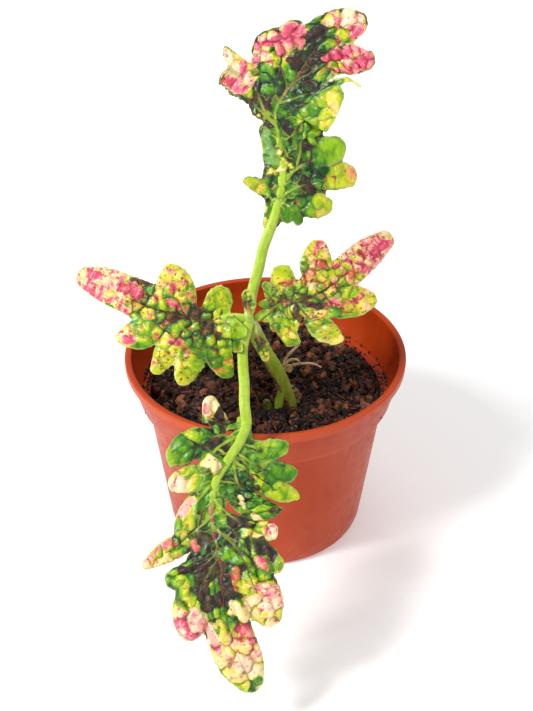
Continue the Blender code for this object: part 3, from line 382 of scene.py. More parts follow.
LOOK_TOP = LeafLook(
    seed=5,
    cell=3.8,
    stretch=1.9,
    smooth=0.1,
    rim=0.8,
    rib=[(0, 0, 0.4), (0.2, 0, 0.4), (0.5, 0.1, 0), (0.62, 0.6, -0.3), (1, 0.8, -0.8)],
    middle=[(0, 0.4, 0, 0, 1, 0.6), (10, 0.3, 0, 0.04, 1, 1), (26, 0.28, 0, 0.1, 1, 1),
            (38, 0.2, 0, 0.2, 0.8, 0.7), (48, 0.16, 0, 0.36, 0.4, 0.2), (60, 0.1, 0.1, 0.62, 0.15, 0),
            (72, 0.5, 0.4, 0.3, 0.2, 0)],
    lobes=[
        Look((0.16, 0.6, 0.98, 1.0), (0.1, 0.35, 0.5, 0.5), (0.6, 0.2, 0.0), 0.0, 1.1),
        Look((0.3, 0.8, 0.95), (0.3, 0.6, 0.74), (0.5, 0.1, 0.0)),
        Look((0.14, 0.36, 0.92, 1.0), (0.1, 0.4, 0.72, 0.5), (0.72, 0.5, 0.1, 0.0)),
        Look((0.3, 0.9, 0.98), (0.3, 0.5, 0.3), (0.5, 0.1, 0.0), 0.4),
        Look((0.2, 0.8, 1.0), (0.3, 0.5, 0.4), (0.6, 0.3, 0.05), 0.4),
        Look((0.2, 0.4, 0.6), (0.0, 0.1, 0.3), (0.6, 0.4, 0.2)),
        Look((0.3, 0.42), (0.0, 0.0), (0.3, 0.2), 0.5),
        Look((0.3, 0.42), (0.0, 0.0), (0.2, 0.2), 0.5),
        Look((0.4, 0.64, 0.8), (0.0, 0.4, 0.3), (0.1, 0.0), 0.7),
        Look((0.4, 0.42), (0.0, 0.0), (0.0, 0.0), 0.9),
        Look((0.36, 0.9), (0.0, 0.2), (0.1, 0.0), 0.8),
        Look((0.26, 0.4, 0.58, 0.6), (0.0, 0.05, 0.05), (0.3, 0.25, 0.0), 0.7, 1.2),
        Look((0.32, 0.44, 0.5), (0.0, 0.1), (0.45, 0.1, 0.0), 0.9, 1.3),
        Look((0.28, 0.4, 0.6, 0.66), (0.0, 0.2, 0.4), (0.25, 0.05, 0.0), 0.85, 1.2),
        Look((0.3, 0.4, 0.62, 0.66), (0.1, 0.1, 0.4), (0.25, 0.0), 0.9, 1.2),
        Look((0.3, 0.4), (0.0, 0.1), (0.2, 0.1), 0.8),
        Look((0.4, 0.42), (0.0, 0.0), (0.0, 0.0), 0.9),
    ],
    marks=[
        Mark(CREAM, (66, -4.5), (69.5, -1.5), 1.2), Mark(MAGENTA, (70.5, 0.5), (73.5, 2.5), 1.2),
        Mark(LEAF_GREEN, (63.5, -6.5), (64, -4.5), 1.5), Mark(PLUM, (63, -3.5), (66, -1.5), 1.2),
        Mark(OLIVE, (64.5, -0.5), (67, -0.5), 1.4), Mark(LIME, (70, 1), (69, 3.5), 1.3),
        Mark(MAGENTA, (60.5, 4.5), (66.5, 7), 1.5), Mark(MAGENTA, (67.5, 11.5), (73, 11), 1.3),
        Mark(SALMON, (58, 9), (65, 12), 1.3), Mark(LEAF_GREEN, (55, 8), (62.5, 13.5), 0.8),
        Mark(MAGENTA, (59.5, -10), (61, -6.5), 1.3), Mark(MAGENTA, (53, -13), (56.5, -10), 1.3),
        Mark(MAGENTA, (57.5, -9), (59, -6.5), 1.3), Mark(SALMON, (59, -5.5), (58.5, -3.5), 1.2, 0.5),
        Mark(LEAF_GREEN, (53, -10.5), (49, -6.5), 0.9), Mark(PLUM, (53.5, -3.5), (53, -0.5), 1.5),
        Mark(PEACH, (41.2, -17.5), (41, -10.5), 1.2),
        Mark(MAGENTA, (39.4, -17), (39.6, -10.5), 0.55), Mark(PLUM, (37.3, -15), (37.2, -8), 0.8),
        Mark(DEEP_GREEN, (46.5, -10), (43.5, -5), 1.5),
        Mark(DEEP_GREEN, (47, -7), (44, -2), 1.5), Mark(DEEP_GREEN, (42.5, -8), (40.5, -3), 1.2),
        Mark(DEEP_GREEN, (43.5, 2.5), (48, 4), 2.2), Mark(DEEP_GREEN, (39.5, 4), (42.5, 4.5), 1.9),
        Mark(PLUM, (53.5, 0), (58, 1), 1), Mark(DEEP_GREEN, (49, 6.5), (53.5, 8), 1.3),
        Mark(PLUM, (38.5, -4), (36, -2), 1.2), Mark(YELLOW, (50.5, 10.5), (54, 12.5), 1.4),
        Mark(YELLOW, (50.5, 14), (48.5, 16), 1.3), Mark(LEAF_GREEN, (45, 9), (46, 14), 1.4),
        Mark(UNDERSIDE, (32, -3.5), (27.5, -3.5), 1.3), Mark(UNDERSIDE, (27, -4), (25.5, -0.5), 1.3),
        Mark(UNDERSIDE, (23.5, -4.5), (21.5, 1), 1.3), Mark(FOLD, (27.5, -1), (23.5, 0), 0.5, 1),
        Mark(FOLD, (23.5, 0), (21, 2.5), 0.6, 1), Mark(FOLD, (18.5, -4.5), (20.5, 0), 0.7, 1),
        Mark(PLUM, (37, -4.5), (34, -1.5), 1.2), Mark(FOLD, (37, -6), (35, -4), 0.4, 0.8),
        Mark(DEEP_GREEN, (38, 3.5), (34, 5.5), 1.3), Mark(OLIVE, (24.5, 1), (22.5, 3.5), 1.4),
        Mark(OLIVE, (24.5, 7), (24, 9.5), 1.4), Mark(LEAF_GREEN, (30.5, 11), (30.5, 14), 1.3),
        Mark(DEEP_GREEN, (20, 7.5), (20, 12.5), 1.3), Mark(PLUM, (17.5, 6.5), (15, 9), 1.4),
        Mark(LEAF_GREEN, (10.5, 8), (11.5, 12), 1.4), Mark(FOLD, (10, -4.5), (1.5, -2), 0.5, 0.6),
        Mark(PLUM, (47.5, -15), (54, -16.5), 0.5), Mark(PLUM, (54, -16.5), (58.5, -14.5), 0.45),
    ],
)
LOOK_BOTTOM = LeafLook(
    seed=11,
    cell=4.0,
    stretch=1.9,
    smooth=0.1,
    rim=0.45,
    rib=[(0, 0, 0.6), (0.3, 0.05, 0.5), (0.42, 0.85, 0), (0.7, 0.9, -0.3), (1, 0.4, -0.8)],
    middle=[(0, 0.4, 0, 0.05, 1, 0.8), (10, 0.28, 0, 0.14, 1, 1), (28, 0.28, 0, 0.1, 1, 1),
            (38, 0.22, 0, 0.2, 0.5, 0.5), (48, 0.14, 0, 0.46, 0.2, 0.1), (58, 0.1, 0.0, 0.55, 0.1, 0),
            (64, 0.36, 0.1, 0.2, 0.2, 0), (72, 0.85, 0.3, 0, 0.2, 0)],
    lobes=[
        Look((0.6, 0.94, 0.98, 0.86), (0.35, 0.5, 0.5, 0.2), (0.15, 0.0), 0.2, 1.4),
        Look((0.16, 0.4, 0.94, 0.96), (0.0, 0.45, 0.5), (0.7, 0.5, 0.05, 0.0), 0.3),
        Look((0.24, 0.38, 0.5), (0.0, 0.0), (0.55, 0.4, 0.05), 0.7, 1.2),
        Look((0.35, 0.6, 1.0), (0.0, 0.2, 0.25), (0.2, 0.0), 0.6),
        Look((0.2, 0.6, 0.98), (0.1, 0.4, 0.3), (0.5, 0.1, 0.0), 0.4),
        Look((0.24, 0.7, 0.84), (0.2, 0.42, 0.1), (0.45, 0.05, 0.0), 0.5),
        Look((0.24, 0.64, 0.86), (0.2, 0.45, 0.5), (0.55, 0.2, 0.0), 0.3),
        Look((0.14, 0.3, 0.5), (0.0, 0.0), (0.5, 0.3, 0.1)),
        Look((0.1, 0.5, 0.98, 1.0), (0.0, 0.15, 0.5, 0.75), (0.5, 0.2, 0.0, 0.0), 0.1, 1.25),
        Look((0.3, 0.88, 0.92, 0.84), (0.2, 0.55, 0.45, 0.3), (0.3, 0.0), 0.2, 1.3),
        Look((0.12, 0.3, 0.6), (0.0, 0.0, 0.1), (0.6, 0.45, 0.0)),
        Look((0.14, 0.6, 1.0), (0.1, 0.5, 0.4), (0.7, 0.3, 0.0)),
        Look((0.18, 0.26, 0.36), (0.0, 0.0), (0.4, 0.35, 0.1), 0.4),
        Look((0.32, 0.44, 0.56), (0.0, 0.0), (0.3, 0.05, 0.0), 0.95, 1.2),
        Look((0.3, 0.42, 0.54), (0.0, 0.1), (0.2, 0.1), 0.85, 1.2),
        Look((0.32, 0.42, 0.5), (0.0, 0.1), (0.25, 0.1), 0.85, 1.2),
        Look((0.26, 0.3), (0.0, 0.0), (0.15, 0.1), 0.8),
        Look((0.42, 0.42), (0.0, 0.0), (0.0, 0.0), 0.8),
    ],
    marks=[
        Mark(LEAF_GREEN, (-5, 13), (7.5, 11.5), 1), Mark(PLUM, (-4.5, 7.5), (4, 6.5), 1.3),
        Mark(LEAF_GREEN, (12.5, 13), (12, 11), 1.5, 0.5), Mark(CREAM, (16.5, 4.5), (17, 2.5), 1.9, 0.7),
        Mark(CREAM, (22.5, 12), (24, 9.5), 1.5), Mark(ROSE, (30, 9), (27, 6), 1.3),
        Mark(LIME, (32.5, 10), (32, 7.5), 1.6), Mark(PLUM, (11, 5), (11, 2), 1.9),
        Mark(DEEP_GREEN, (20.5, -1), (17, -2.5), 1.9), Mark(DEEP_GREEN, (22, -6), (17.5, -9), 1.6),
        Mark(LIME, (4, -4.5), (2, -8.5), 1.5), Mark(LEAF_GREEN, (6.5, -7), (3, -12), 1.3),
        Mark(LEAF_GREEN, (8.5, -10), (6.5, -12), 1.6), Mark(LEAF_GREEN, (8.5, -13), (7, -17.5), 1.3),
        Mark(LIME, (11, -16), (9.5, -21), 1.6), Mark(OLIVE, (16.5, -11), (30, -17.5), 2.2),
        Mark(OLIVE, (27, -11), (32, -15.5), 1.6), Mark(FOLD, (23.5, -8), (28.5, -9.5), 0.6, 0.6),
        Mark(CREAM, (31.5, -11.5), (39, -16.5), 0.9, 0.4), Mark(PLUM, (31.5, -5.5), (36.5, -10.5), 1.3),
        Mark(LEAF_GREEN, (29, -1.5), (33, -2.5), 1.6), Mark(OLIVE, (31, 2.5), (32.5, 0.5), 1.9),
        Mark(DEEP_GREEN, (37.5, -3.5), (41, -6), 1.5), Mark(SALMON, (37, 6), (39, 6), 1, 0.7),
        Mark(PLUM, (45, 10.5), (45.5, 9.5), 1.5, 0.3), Mark(LIME, (49, 11.5), (51, 10.5), 2.1, 0.6),
        Mark(PLUM, (45.5, 4.5), (55, 4.5), 2.2), Mark(PLUM, (51, 5.5), (54, 2), 1.9),
        Mark(OLIVE, (45.5, 2), (51, 2), 1.3), Mark(OLIVE, (35.5, 3), (37.5, 1.5), 1.6),
        Mark(MAGENTA, (58.5, 13), (60, 12.5), 1.6, 0.4), Mark(MAGENTA, (61, 11.5), (62, 10), 1.5, 0.4),
        Mark(ROSE, (58, 14), (62, 12.5), 1.1), Mark(CREAM, (57, 8.5), (60, 8.5), 1.9, 0.4),
        Mark(LEAF_GREEN, (57.5, 1), (64.5, 2), 1.6), Mark(SALMON, (63, -2), (64.5, -6.5), 1.3),
        Mark(ROSE, (61, 5.5), (67.5, 5), 1), Mark(CREAM, (71.5, -2), (71, -4.5), 1.5),
        Mark(CREAM, (75, 4.5), (75, 1.5), 1.6, 0.3), Mark(SALMON, (45, -11), (45.5, -12), 1.3, 0.5),
        Mark(RUST, (46.5, -4), (51, -4.5), 1.3, 0.5), Mark(LIME, (50.5, -6), (53, -7), 1.5, 0.3),
        Mark(CREAM, (52, -12), (55, -14), 1.6, 0.4), Mark(CREAM, (59, -11), (61.5, -11.5), 1.9, 0.4),
        Mark(CREAM, (57, -3), (60.5, -5), 1.9, 0.4), Mark(PLUM, (41.5, -11), (43.5, -14.5), 1.3),
        Mark(DEEP_GREEN, (80, -2.5), (82, 0), 1.2), Mark(LEAF_GREEN, (67.5, 9), (76, 6.5), 0.9),
    ],
)
LOOK_YOUNG = LeafLook(
    seed=21,
    cell=1.4,
    stretch=1.2,
    smooth=0.3,
    rim=0.2,
    rib=[(0, 0, 0), (0.4, 0.7, -0.4), (1, 0.8, -0.8)],
    middle=[(0, 0.45, 0, 0.2, 0.6, 0), (4, 0.5, 0.3, 0.6, 0.2, 0), (9, 0.6, 0.1, 0.1, 0.6, 0)],
    lobes=[Look((0.5, 0.62), (0.1, 0.0), (0.5, 0.0)), Look((0.5, 0.55), (0.0, 0.0), (0.1, 0.0))],
)

# Stem, side shoots and roots: the solids' centre lines, with the radius at each point
STEM_PATH = [(8.4, -7.6, 41.5), (7.9, -8.2, 48.5), (6.0, -9.6, 56.4), (3.6, -11.6, 64.6), (0.2, -14, 73),
             (-2.4, -16.2, 80.4), (-4.3, -18, 86.6), (-4.9, -18.5, 88.8), (-5.1, -18.7, 90)]
STEM_RADII = [2.2, 2.3, 2.3, 2.3, 2.2, 2.1, 2.2, 2.3, 1.4]
SIDE_SHOOT_PATH = [(4.6, -11.6, 44), (4.3, -11.8, 48.5), (4.4, -11.6, 52.5), (5.4, -10.4, 57)]
SIDE_SHOOT_RADII = [1.4, 1.5, 1.4, 1.2]
STUB_PATH = [(1.4, -10.6, 44), (0.9, -10.6, 49.6), (0.4, -10.9, 51.4)]
STUB_RADII = [1.4, 1.7, 1.2]
ROOT_LUMP_PATH = [(10.2, -6.4, 46), (9.9, -6.2, 51), (8.6, -6.8, 54.6)]
ROOT_LUMP_RADII = [1.2, 1.5, 0.8]
ROOT_PATHS = [
    [(5.7, -8.6, 64.5), (6.3, -8.1, 66.2), (8.5, -7.8, 69.4), (10.5, -7.6, 71.6)],
    [(6.1, -8.6, 63.4), (7.2, -8.3, 66.0), (10.0, -8.0, 66.2), (11.2, -8.0, 64.6)],
    [(6.6, -8.4, 62.4), (8.4, -8.1, 64.0), (12.0, -7.8, 64.6), (15.0, -7.6, 64.4), (17.6, -7.2, 62.8)],
]
ROOT_RADII = [0.42, 0.42, 0.3]
ROOT_KNOB = (7.6, -8.1, 62.9)


# Meshes

def new_piece(name, points, faces, materials=()):
    """A smooth mesh object from points in millimetres."""
    mesh = bpy.data.meshes.new(name)
    mesh.from_pydata((np.asarray(points) * MM).tolist(), [], faces)
    mesh.shade_smooth()
    for made in materials:
        mesh.materials.append(made)
    piece = bpy.data.objects.new(name, mesh)
    bpy.context.scene.collection.objects.link(piece)
    return piece


def add_values(piece, name, values):
    """A number at each vertex, for the materials to read, in place of an older one of this name."""
    if name in piece.data.attributes:
        piece.data.attributes.remove(piece.data.attributes[name])
    attribute = piece.data.attributes.new(name, "FLOAT", "POINT")
    attribute.data.foreach_set("value", np.asarray(values, np.float32))


def add_places(piece, name, places):
    """A vector at each vertex, for the materials to read."""
    attribute = piece.data.attributes.new(name, "FLOAT_VECTOR", "POINT")
    attribute.data.foreach_set("vector", np.asarray(places, np.float32).ravel())


def vertex_places(piece):
    """The piece's vertices in millimetres."""
    return np.array([vertex.co for vertex in piece.data.vertices]) / MM


def ring_faces(rings, sides, first=0):
    """Four-sided faces between rings of vertices that follow each other from the first vertex on."""
    faces = []
    for k in range(rings - 1):
        for s in range(sides):
            a, b = first + k * sides + s, first + k * sides + (s + 1) % sides
            faces.append((a, b, b + sides, a + sides))
    return faces


def plain_mesh(piece):
    """The piece with its modifiers applied and removed."""
    graph = bpy.context.evaluated_depsgraph_get()
    mesh = bpy.data.meshes.new_from_object(piece.evaluated_get(graph))
    piece.modifiers.clear()
    piece.data = mesh
    return piece


def smooth_path(points, spacing):
    """Points at about this spacing on a smooth curve through the given ones."""
    given = np.array(points, float)
    at = np.r_[0, np.cumsum(np.linalg.norm(np.diff(given, axis=0), axis=1))]
    slopes = np.gradient(given, at, axis=0)
    where = np.linspace(0, at[-1], max(3, round(at[-1] / spacing) + 1))
    span = np.clip(np.searchsorted(at, where, side="right") - 1, 0, len(at) - 2)
    width = (at[span + 1] - at[span])[:, None]
    u = (where - at[span])[:, None] / width
    return (
        (2 * u**3 - 3 * u**2 + 1) * given[span]
        + (u**3 - 2 * u**2 + u) * width * slopes[span]
        + (3 * u**2 - 2 * u**3) * given[span + 1]
        + (u**3 - u**2) * width * slopes[span + 1]
    )


def waves(points, size, seed, terms=14):
    """A smooth random field from -1 to 1 or so, whose bumps are about this size."""
    draw = np.random.default_rng(seed)
    points = np.asarray(points, float)
    directions = draw.normal(size=(terms, points.shape[1]))
    directions /= np.linalg.norm(directions, axis=1)[:, None]
    rates = 2 * math.pi / (size * draw.uniform(1.4, 3.2, terms))
    phases = draw.uniform(0, 2 * math.pi, terms)
    return np.sin((points @ directions.T) * rates + phases).sum(axis=1) / math.sqrt(terms / 1.2)


def swept(path, radii, sides, outline=None, round_start=0, round_end=0):
    """Points, faces and (share along, turn) of a closed tube; its ends may be domed by a few rings."""
    path = np.asarray(path, float)
    radii = np.asarray(radii, float)
    ahead = np.gradient(path, axis=0)
    ahead /= np.linalg.norm(ahead, axis=1)[:, None]
    for end, rings in ((0, round_start), (-1, round_end)):
        if not rings:
            continue
        lean = np.linspace(0, math.pi / 2, rings + 1)[1:] * 0.94
        out = ahead[end] if end else -ahead[0]
        cap = path[end] + out * (radii[end] * np.sin(lean))[:, None]
        cap_radii = radii[end] * np.cos(lean)
        caps_ahead = np.repeat(ahead[end][None], rings, axis=0)
        if end:
            path, radii = np.concatenate([path, cap]), np.r_[radii, cap_radii]
            ahead = np.concatenate([ahead, caps_ahead])
        else:
            path, radii = np.concatenate([cap[::-1], path]), np.r_[cap_radii[::-1], radii]
            ahead = np.concatenate([caps_ahead, ahead])
    side = np.cross(ahead[0], TO_LIGHT)
    sides_at = []
    for direction in ahead:
        side = side - (side @ direction) * direction
        side = side / np.linalg.norm(side)
        sides_at.append(side)
    sides_at = np.array(sides_at)
    ups = np.cross(sides_at, ahead)
    turn = np.linspace(0, 2 * math.pi, sides, endpoint=False)
    scale = np.ones(sides) if outline is None else outline(turn)
    ring = (np.cos(turn) * scale)[None, :, None] * sides_at[:, None] \
        + (np.sin(turn) * scale)[None, :, None] * ups[:, None]
    points = (path[:, None] + ring * radii[:, None, None]).reshape(-1, 3)
    count = len(path)
    faces = ring_faces(count, sides)
    faces.append(tuple(range(sides))[::-1])
    faces.append(tuple((count - 1) * sides + s for s in range(sides)))
    share = np.repeat(np.linspace(0, 1, count), sides)
    return points, faces, share, np.tile(turn, count)


def outward(piece):
    """The piece with its normals recalculated to point outwards."""
    shell = bmesh.new()
    shell.from_mesh(piece.data)
    bmesh.ops.remove_doubles(shell, verts=shell.verts, dist=1e-7)
    bmesh.ops.recalc_face_normals(shell, faces=shell.faces)
    shell.to_mesh(piece.data)
    shell.free()
    return piece


# Leaf shape

def lobe_line(lobe):
    """The lobe's root, tip and length, and the directions along and across it."""
    root, tip = np.array(lobe.root, float), np.array(lobe.tip, float)
    length = np.linalg.norm(tip - root)
    axis = (tip - root) / length
    return root, tip, length, axis, np.array((-axis[1], axis[0]))


def flat_box(plan, border):
    """Two corners of a box around the flat lobes, with a border."""
    ends = np.array([lobe.tip for lobe in plan.lobes] + [lobe.root for lobe in plan.lobes], float)
    return ends.min(axis=0) - border, ends.max(axis=0) + border


def lobe_distance(lobe, flat):
    """How far each flat point lies outside the lobe's rounded outline; inside is negative."""
    root, tip, length, _, _ = lobe_line(lobe)
    tip_radius = LOBE_TIP_SHARE * lobe.half_width
    share = np.linspace(0, 1, LOBE_CIRCLES)
    grow = np.clip(share / LOBE_WIDEST, 0, 1)
    shrink = np.clip((share - LOBE_WIDEST) / (1 - LOBE_WIDEST), 0, 1)
    waist = lobe.waist * lobe.half_width
    radii = waist + (lobe.half_width - waist) * np.sin(grow * math.pi / 2)
    radii -= (lobe.half_width - tip_radius) * (1 - np.cos(shrink * math.pi / 2))
    centres = root + (tip - root) * share[:, None] * (1 - tip_radius / length)
    nearest = np.full(len(flat), 1e9)
    for centre, radius in zip(centres, radii):
        nearest = np.minimum(nearest, np.hypot(flat[:, 0] - centre[0], flat[:, 1] - centre[1]) - radius)
    return nearest


def web_distance(plan, flat):
    """Distance outside the narrow web of blade that runs along both sides of the rib."""
    reach = max(lobe.root[0] for lobe in plan.lobes)
    along = np.clip(flat[:, 0], 1.0, reach)
    width = plan.web * np.minimum(1.0, WEB_NARROW_SHARE + along / WEB_WIDENS_OVER)
    return np.hypot(flat[:, 0] - along, flat[:, 1]) - width


def fill_distance(fill, flat):
    """Distance outside a rounded strip of blade that closes the gap between two lobes."""
    start, chord = np.array(fill.start, float), np.subtract(fill.end, fill.start).astype(float)
    share = np.clip((flat - start) @ chord / (chord @ chord), 0, 1)
    return np.linalg.norm(flat - start - share[:, None] * chord, axis=1) - fill.half_width


def blade_distance(plan, flat):
    """Distance outside the blade, with rounded notches and a slightly waved edge."""
    each = [lobe_distance(lobe, flat) for lobe in plan.lobes] + [web_distance(plan, flat)]
    each += [fill_distance(fill, flat) for fill in plan.fills]
    total = sum(np.exp(-np.clip(d, -9, 9) / NOTCH_ROUNDING) for d in each)
    return -NOTCH_ROUNDING * np.log(total) + EDGE_WAVE * waves(flat, 1.1, 77)


def along_lobe(lobe, flat):
    """Share of the lobe's length and of its half width at each flat point."""
    root, _, length, axis, normal = lobe_line(lobe)
    away = flat - root
    return away @ axis / length, away @ normal / lobe.half_width


def lobe_height(lobe, flat):
    """The lobe's lift, cup and tilt as one height at each flat point."""
    share, side = along_lobe(lobe, flat)
    share, side = np.clip(share, 0, 1.1), np.clip(side, -1.4, 1.4)
    return lobe.lift * share**2 + lobe.cup * side**2 * share + lobe.tilt * side * share


def blade_relief(plan, flat):
    """Height of the blade above its bent mean surface: each lobe's lift, cup and tilt, blended."""
    total = np.zeros(len(flat))
    weights = np.full(len(flat), 1e-6)
    for lobe in plan.lobes:
        weight = np.exp(-np.clip(lobe_distance(lobe, flat), -6, 6) / RELIEF_BLEND)
        total += weight * lobe_height(lobe, flat)
        weights += weight
    along, across = flat.T
    keel = 1 - np.exp(-np.abs(across) / KEEL_WIDTH)
    ripple = np.sin(1.25 * along + 0.6 * across) * np.sin(0.95 * across - 0.4 * along)
    return total / weights + KEEL_HEIGHT * keel + RIPPLE_HEIGHT * ripple


def lobe_heights(lobe, flat):
    """The lobe's own height, and how fully it covers each point: 0 off it and at its root, 1 on it."""
    free = np.clip((along_lobe(lobe, flat)[0] - FREE_FROM) / FREE_OVER, 0, 1)
    away = lobe_distance(lobe, flat)
    return lobe_height(lobe, flat), free * np.clip(0.5 - away / OVERLAP_BLEND, 0, 1), free, away


def stacked(plan, look, flat):
    """Height, colour shares, distance from an edge and shade, where higher lobes cover lower ones."""
    stations = np.array(look.middle, float)
    middle = np.stack([np.interp(flat[:, 0], stations[:, 0], stations[:, k]) for k in range(1, 6)], axis=1)
    height = blade_relief(plan, flat)
    outer = np.maximum(0, -blade_distance(plan, flat))
    edge, shade = outer.copy(), np.zeros(len(flat))
    colours = lobe_colours(plan, look, flat)
    smooth = np.zeros(len(flat))
    order = sorted(range(len(plan.lobes)), key=lambda k: plan.lobes[k].lift)
    for k in order:
        lobe, own = plan.lobes[k], look.lobes[k]
        lift, cover, free, away = lobe_heights(lobe, flat)
        share = np.clip(along_lobe(lobe, flat)[0], 0, 1)
        above = np.clip((lift - height) / 0.5, 0, 1)
        shade = np.maximum(shade, free * above * np.exp(-np.clip(away, 0, 9) / SHADE_REACH))
        height += cover * (lift + KEEL_HEIGHT - height)
        edge += cover * (np.minimum(outer, np.clip(-away, 0, 9) + 8 * (1 - free)) - edge)
        shade *= 1 - cover
        colours += cover[:, None] * (lobe_values(own, share) - colours)
        smooth += cover * (max(look.smooth, own.calm) * share**0.6 - smooth)
    near = np.clip(0.5 - (web_distance(plan, flat) - MIDDLE_REACH) / MIDDLE_BLEND, 0, 1)
    colours += near[:, None] * (middle[:, :3] - colours)
    spread = np.clip(1.2 - web_distance(plan, flat).clip(0) / 3.5, 0, 1)
    return height, colours.T, edge, shade, smooth, middle[:, 3] * spread, middle[:, 4] * spread


def leaf_path(plan, spacing):
    """The stalk and rib as one smooth path, the length up to each point and up to the rib's start."""
    path = smooth_path(plan.stalk + plan.rib[1:], spacing)
    lengths = np.r_[0, np.cumsum(np.linalg.norm(np.diff(path, axis=0), axis=1))]
    return path, lengths, lengths[np.argmin(np.linalg.norm(path - np.array(plan.rib[0]), axis=1))]


def leaf_frame(plan, along):
    """Centre, side and face directions of the leaf at distances along its rib."""
    path, lengths, base = leaf_path(plan, FRAME_SPACING)
    ahead = np.gradient(path, lengths, axis=0)
    ahead /= np.linalg.norm(ahead, axis=1)[:, None]
    face = np.array(TO_LIGHT) - (ahead @ np.array(TO_LIGHT))[:, None] * ahead
    face /= np.linalg.norm(face, axis=1)[:, None]
    side = np.cross(ahead, face)
    at = along + base
    centre, ahead, side, face = (
        np.stack([np.interp(at, lengths, values[:, k]) for k in range(3)], axis=1)
        for values in (path, ahead, side, face)
    )
    past_ends = (at - np.clip(at, 0, lengths[-1]))[:, None]
    return centre + past_ends * ahead, side, face


def clipped_grid(value_at, low, high, spacing):
    """Flat points and triangles that fill the region of negative value, cut along its edge."""
    columns, rows = np.ceil((high - low) / spacing).astype(int) + 1
    grid = np.stack(np.meshgrid(np.arange(columns), np.arange(rows), indexing="ij"), axis=-1).reshape(-1, 2)
    points = low + grid * spacing
    value = value_at(points)
    near = np.flatnonzero(np.abs(value) < 0.33 * spacing)
    step = 0.05 * spacing
    slope = np.stack([(value_at(points[near] + offset) - value[near]) / step
                      for offset in ((step, 0), (0, step))], axis=1)
    points[near] -= slope * (value[near] / np.maximum((slope**2).sum(axis=1), 0.3))[:, None]
    value[near] = 0.0
    corner = np.arange(columns * rows).reshape(columns, rows)
    a, b, c, d = (corner[:-1, :-1], corner[1:, :-1], corner[1:, 1:], corner[:-1, 1:])
    halves = [np.stack(corners, axis=-1).reshape(-1, 3) for corners in ((a, b, c), (a, c, d))]
    triangles = np.concatenate(halves)
    signs = np.sign(value[triangles])
    whole = triangles[(signs.max(axis=1) <= 0) & (signs.min(axis=1) < 0)].tolist()
    mixed = triangles[(signs.max(axis=1) > 0) & (signs.min(axis=1) < 0)].tolist()
    extra, cut_at = [], {}
    for triangle in mixed:
        kept = []
        for k in range(3):
            here, there = triangle[k], triangle[(k + 1) % 3]
            if value[here] <= 0:
                kept.append(here)
            if value[here] * value[there] < 0:
                key = (min(here, there), max(here, there))
                if key not in cut_at:
                    share = value[key[0]] / (value[key[0]] - value[key[1]])
                    cut_at[key] = len(points) + len(extra)
                    extra.append(points[key[0]] + (points[key[1]] - points[key[0]]) * share)
                kept.append(cut_at[key])
        whole += [(kept[0], kept[k], kept[k + 1]) for k in range(1, len(kept) - 1)]
    points = np.concatenate([points, np.array(extra)])
    triangles = np.array(whole)
    used, triangles = np.unique(triangles, return_inverse=True)
    return points[used], triangles.reshape(-1, 3)


def quilt_centres(plan, look):
    """The puckers as centre, long direction, stretch and size: rows along each lobe, then the rest."""
    draw = np.random.default_rng(look.seed)
    wanted = []
    for lobe, own in zip(plan.lobes, look.lobes):
        root, _, length, axis, normal = lobe_line(lobe)
        cell = look.cell * own.size
        rows = max(1, round(lobe.half_width / cell))
        width = lobe.half_width / rows
        pitch = max(width, 0.75 * cell)
        for k in range(int(length / pitch) + 1):
            for row in range(rows):
                for side in (-1, 1):
                    at = (k + 0.5 + 0.25 * side) * pitch
                    place = root + axis * at + normal * side * (row + 0.52) * width
                    wanted.append(place + draw.normal(0, 0.2 * width, 2))
    low, high = flat_box(plan, PUCKER_BORDER)
    steps = np.ceil((high - low) / (PUCKER_STEP * look.cell)).astype(int)
    for column in range(steps[0]):
        for row in range(steps[1]):
            place = np.array((column, row)) + draw.uniform(0, 1, 2)
            wanted.append(low + place * PUCKER_STEP * look.cell)
    wanted = np.array(wanted)
    wanted = wanted[blade_distance(plan, wanted) < 0.2]
    near = np.argmin([lobe_distance(lobe, wanted) for lobe in plan.lobes], axis=0)
    sizes = np.array([own.size for own in look.lobes])[near] * draw.uniform(0.8, 1.25, len(wanted))
    tips = np.array([lobe.tip for lobe in plan.lobes], float)
    towards = tips[near] - np.c_[wanted[:, 0] - 6, wanted[:, 1] * 0]
    towards /= np.linalg.norm(towards, axis=1)[:, None]
    middle = np.clip(1 - web_distance(plan, wanted) / 4, 0, 1)
    stretch = 1 + (look.stretch - 1) * middle
    kept = []
    for k, place in enumerate(wanted):
        reach = PUCKER_APART * look.cell * sizes[k]
        if all(pucker_reach(place - wanted[j], towards[j], stretch[j]) > reach for j in kept):
            kept.append(k)
    return wanted[kept], towards[kept], stretch[kept], sizes[kept]


def pucker_reach(away, towards, stretch):
    """Distance measured so that a pucker stretched along its direction is round."""
    along = (away * towards).sum(axis=-1)
    across = away[..., 0] * towards[..., 1] - away[..., 1] * towards[..., 0]
    return np.hypot(along / stretch, across * stretch**0.5)


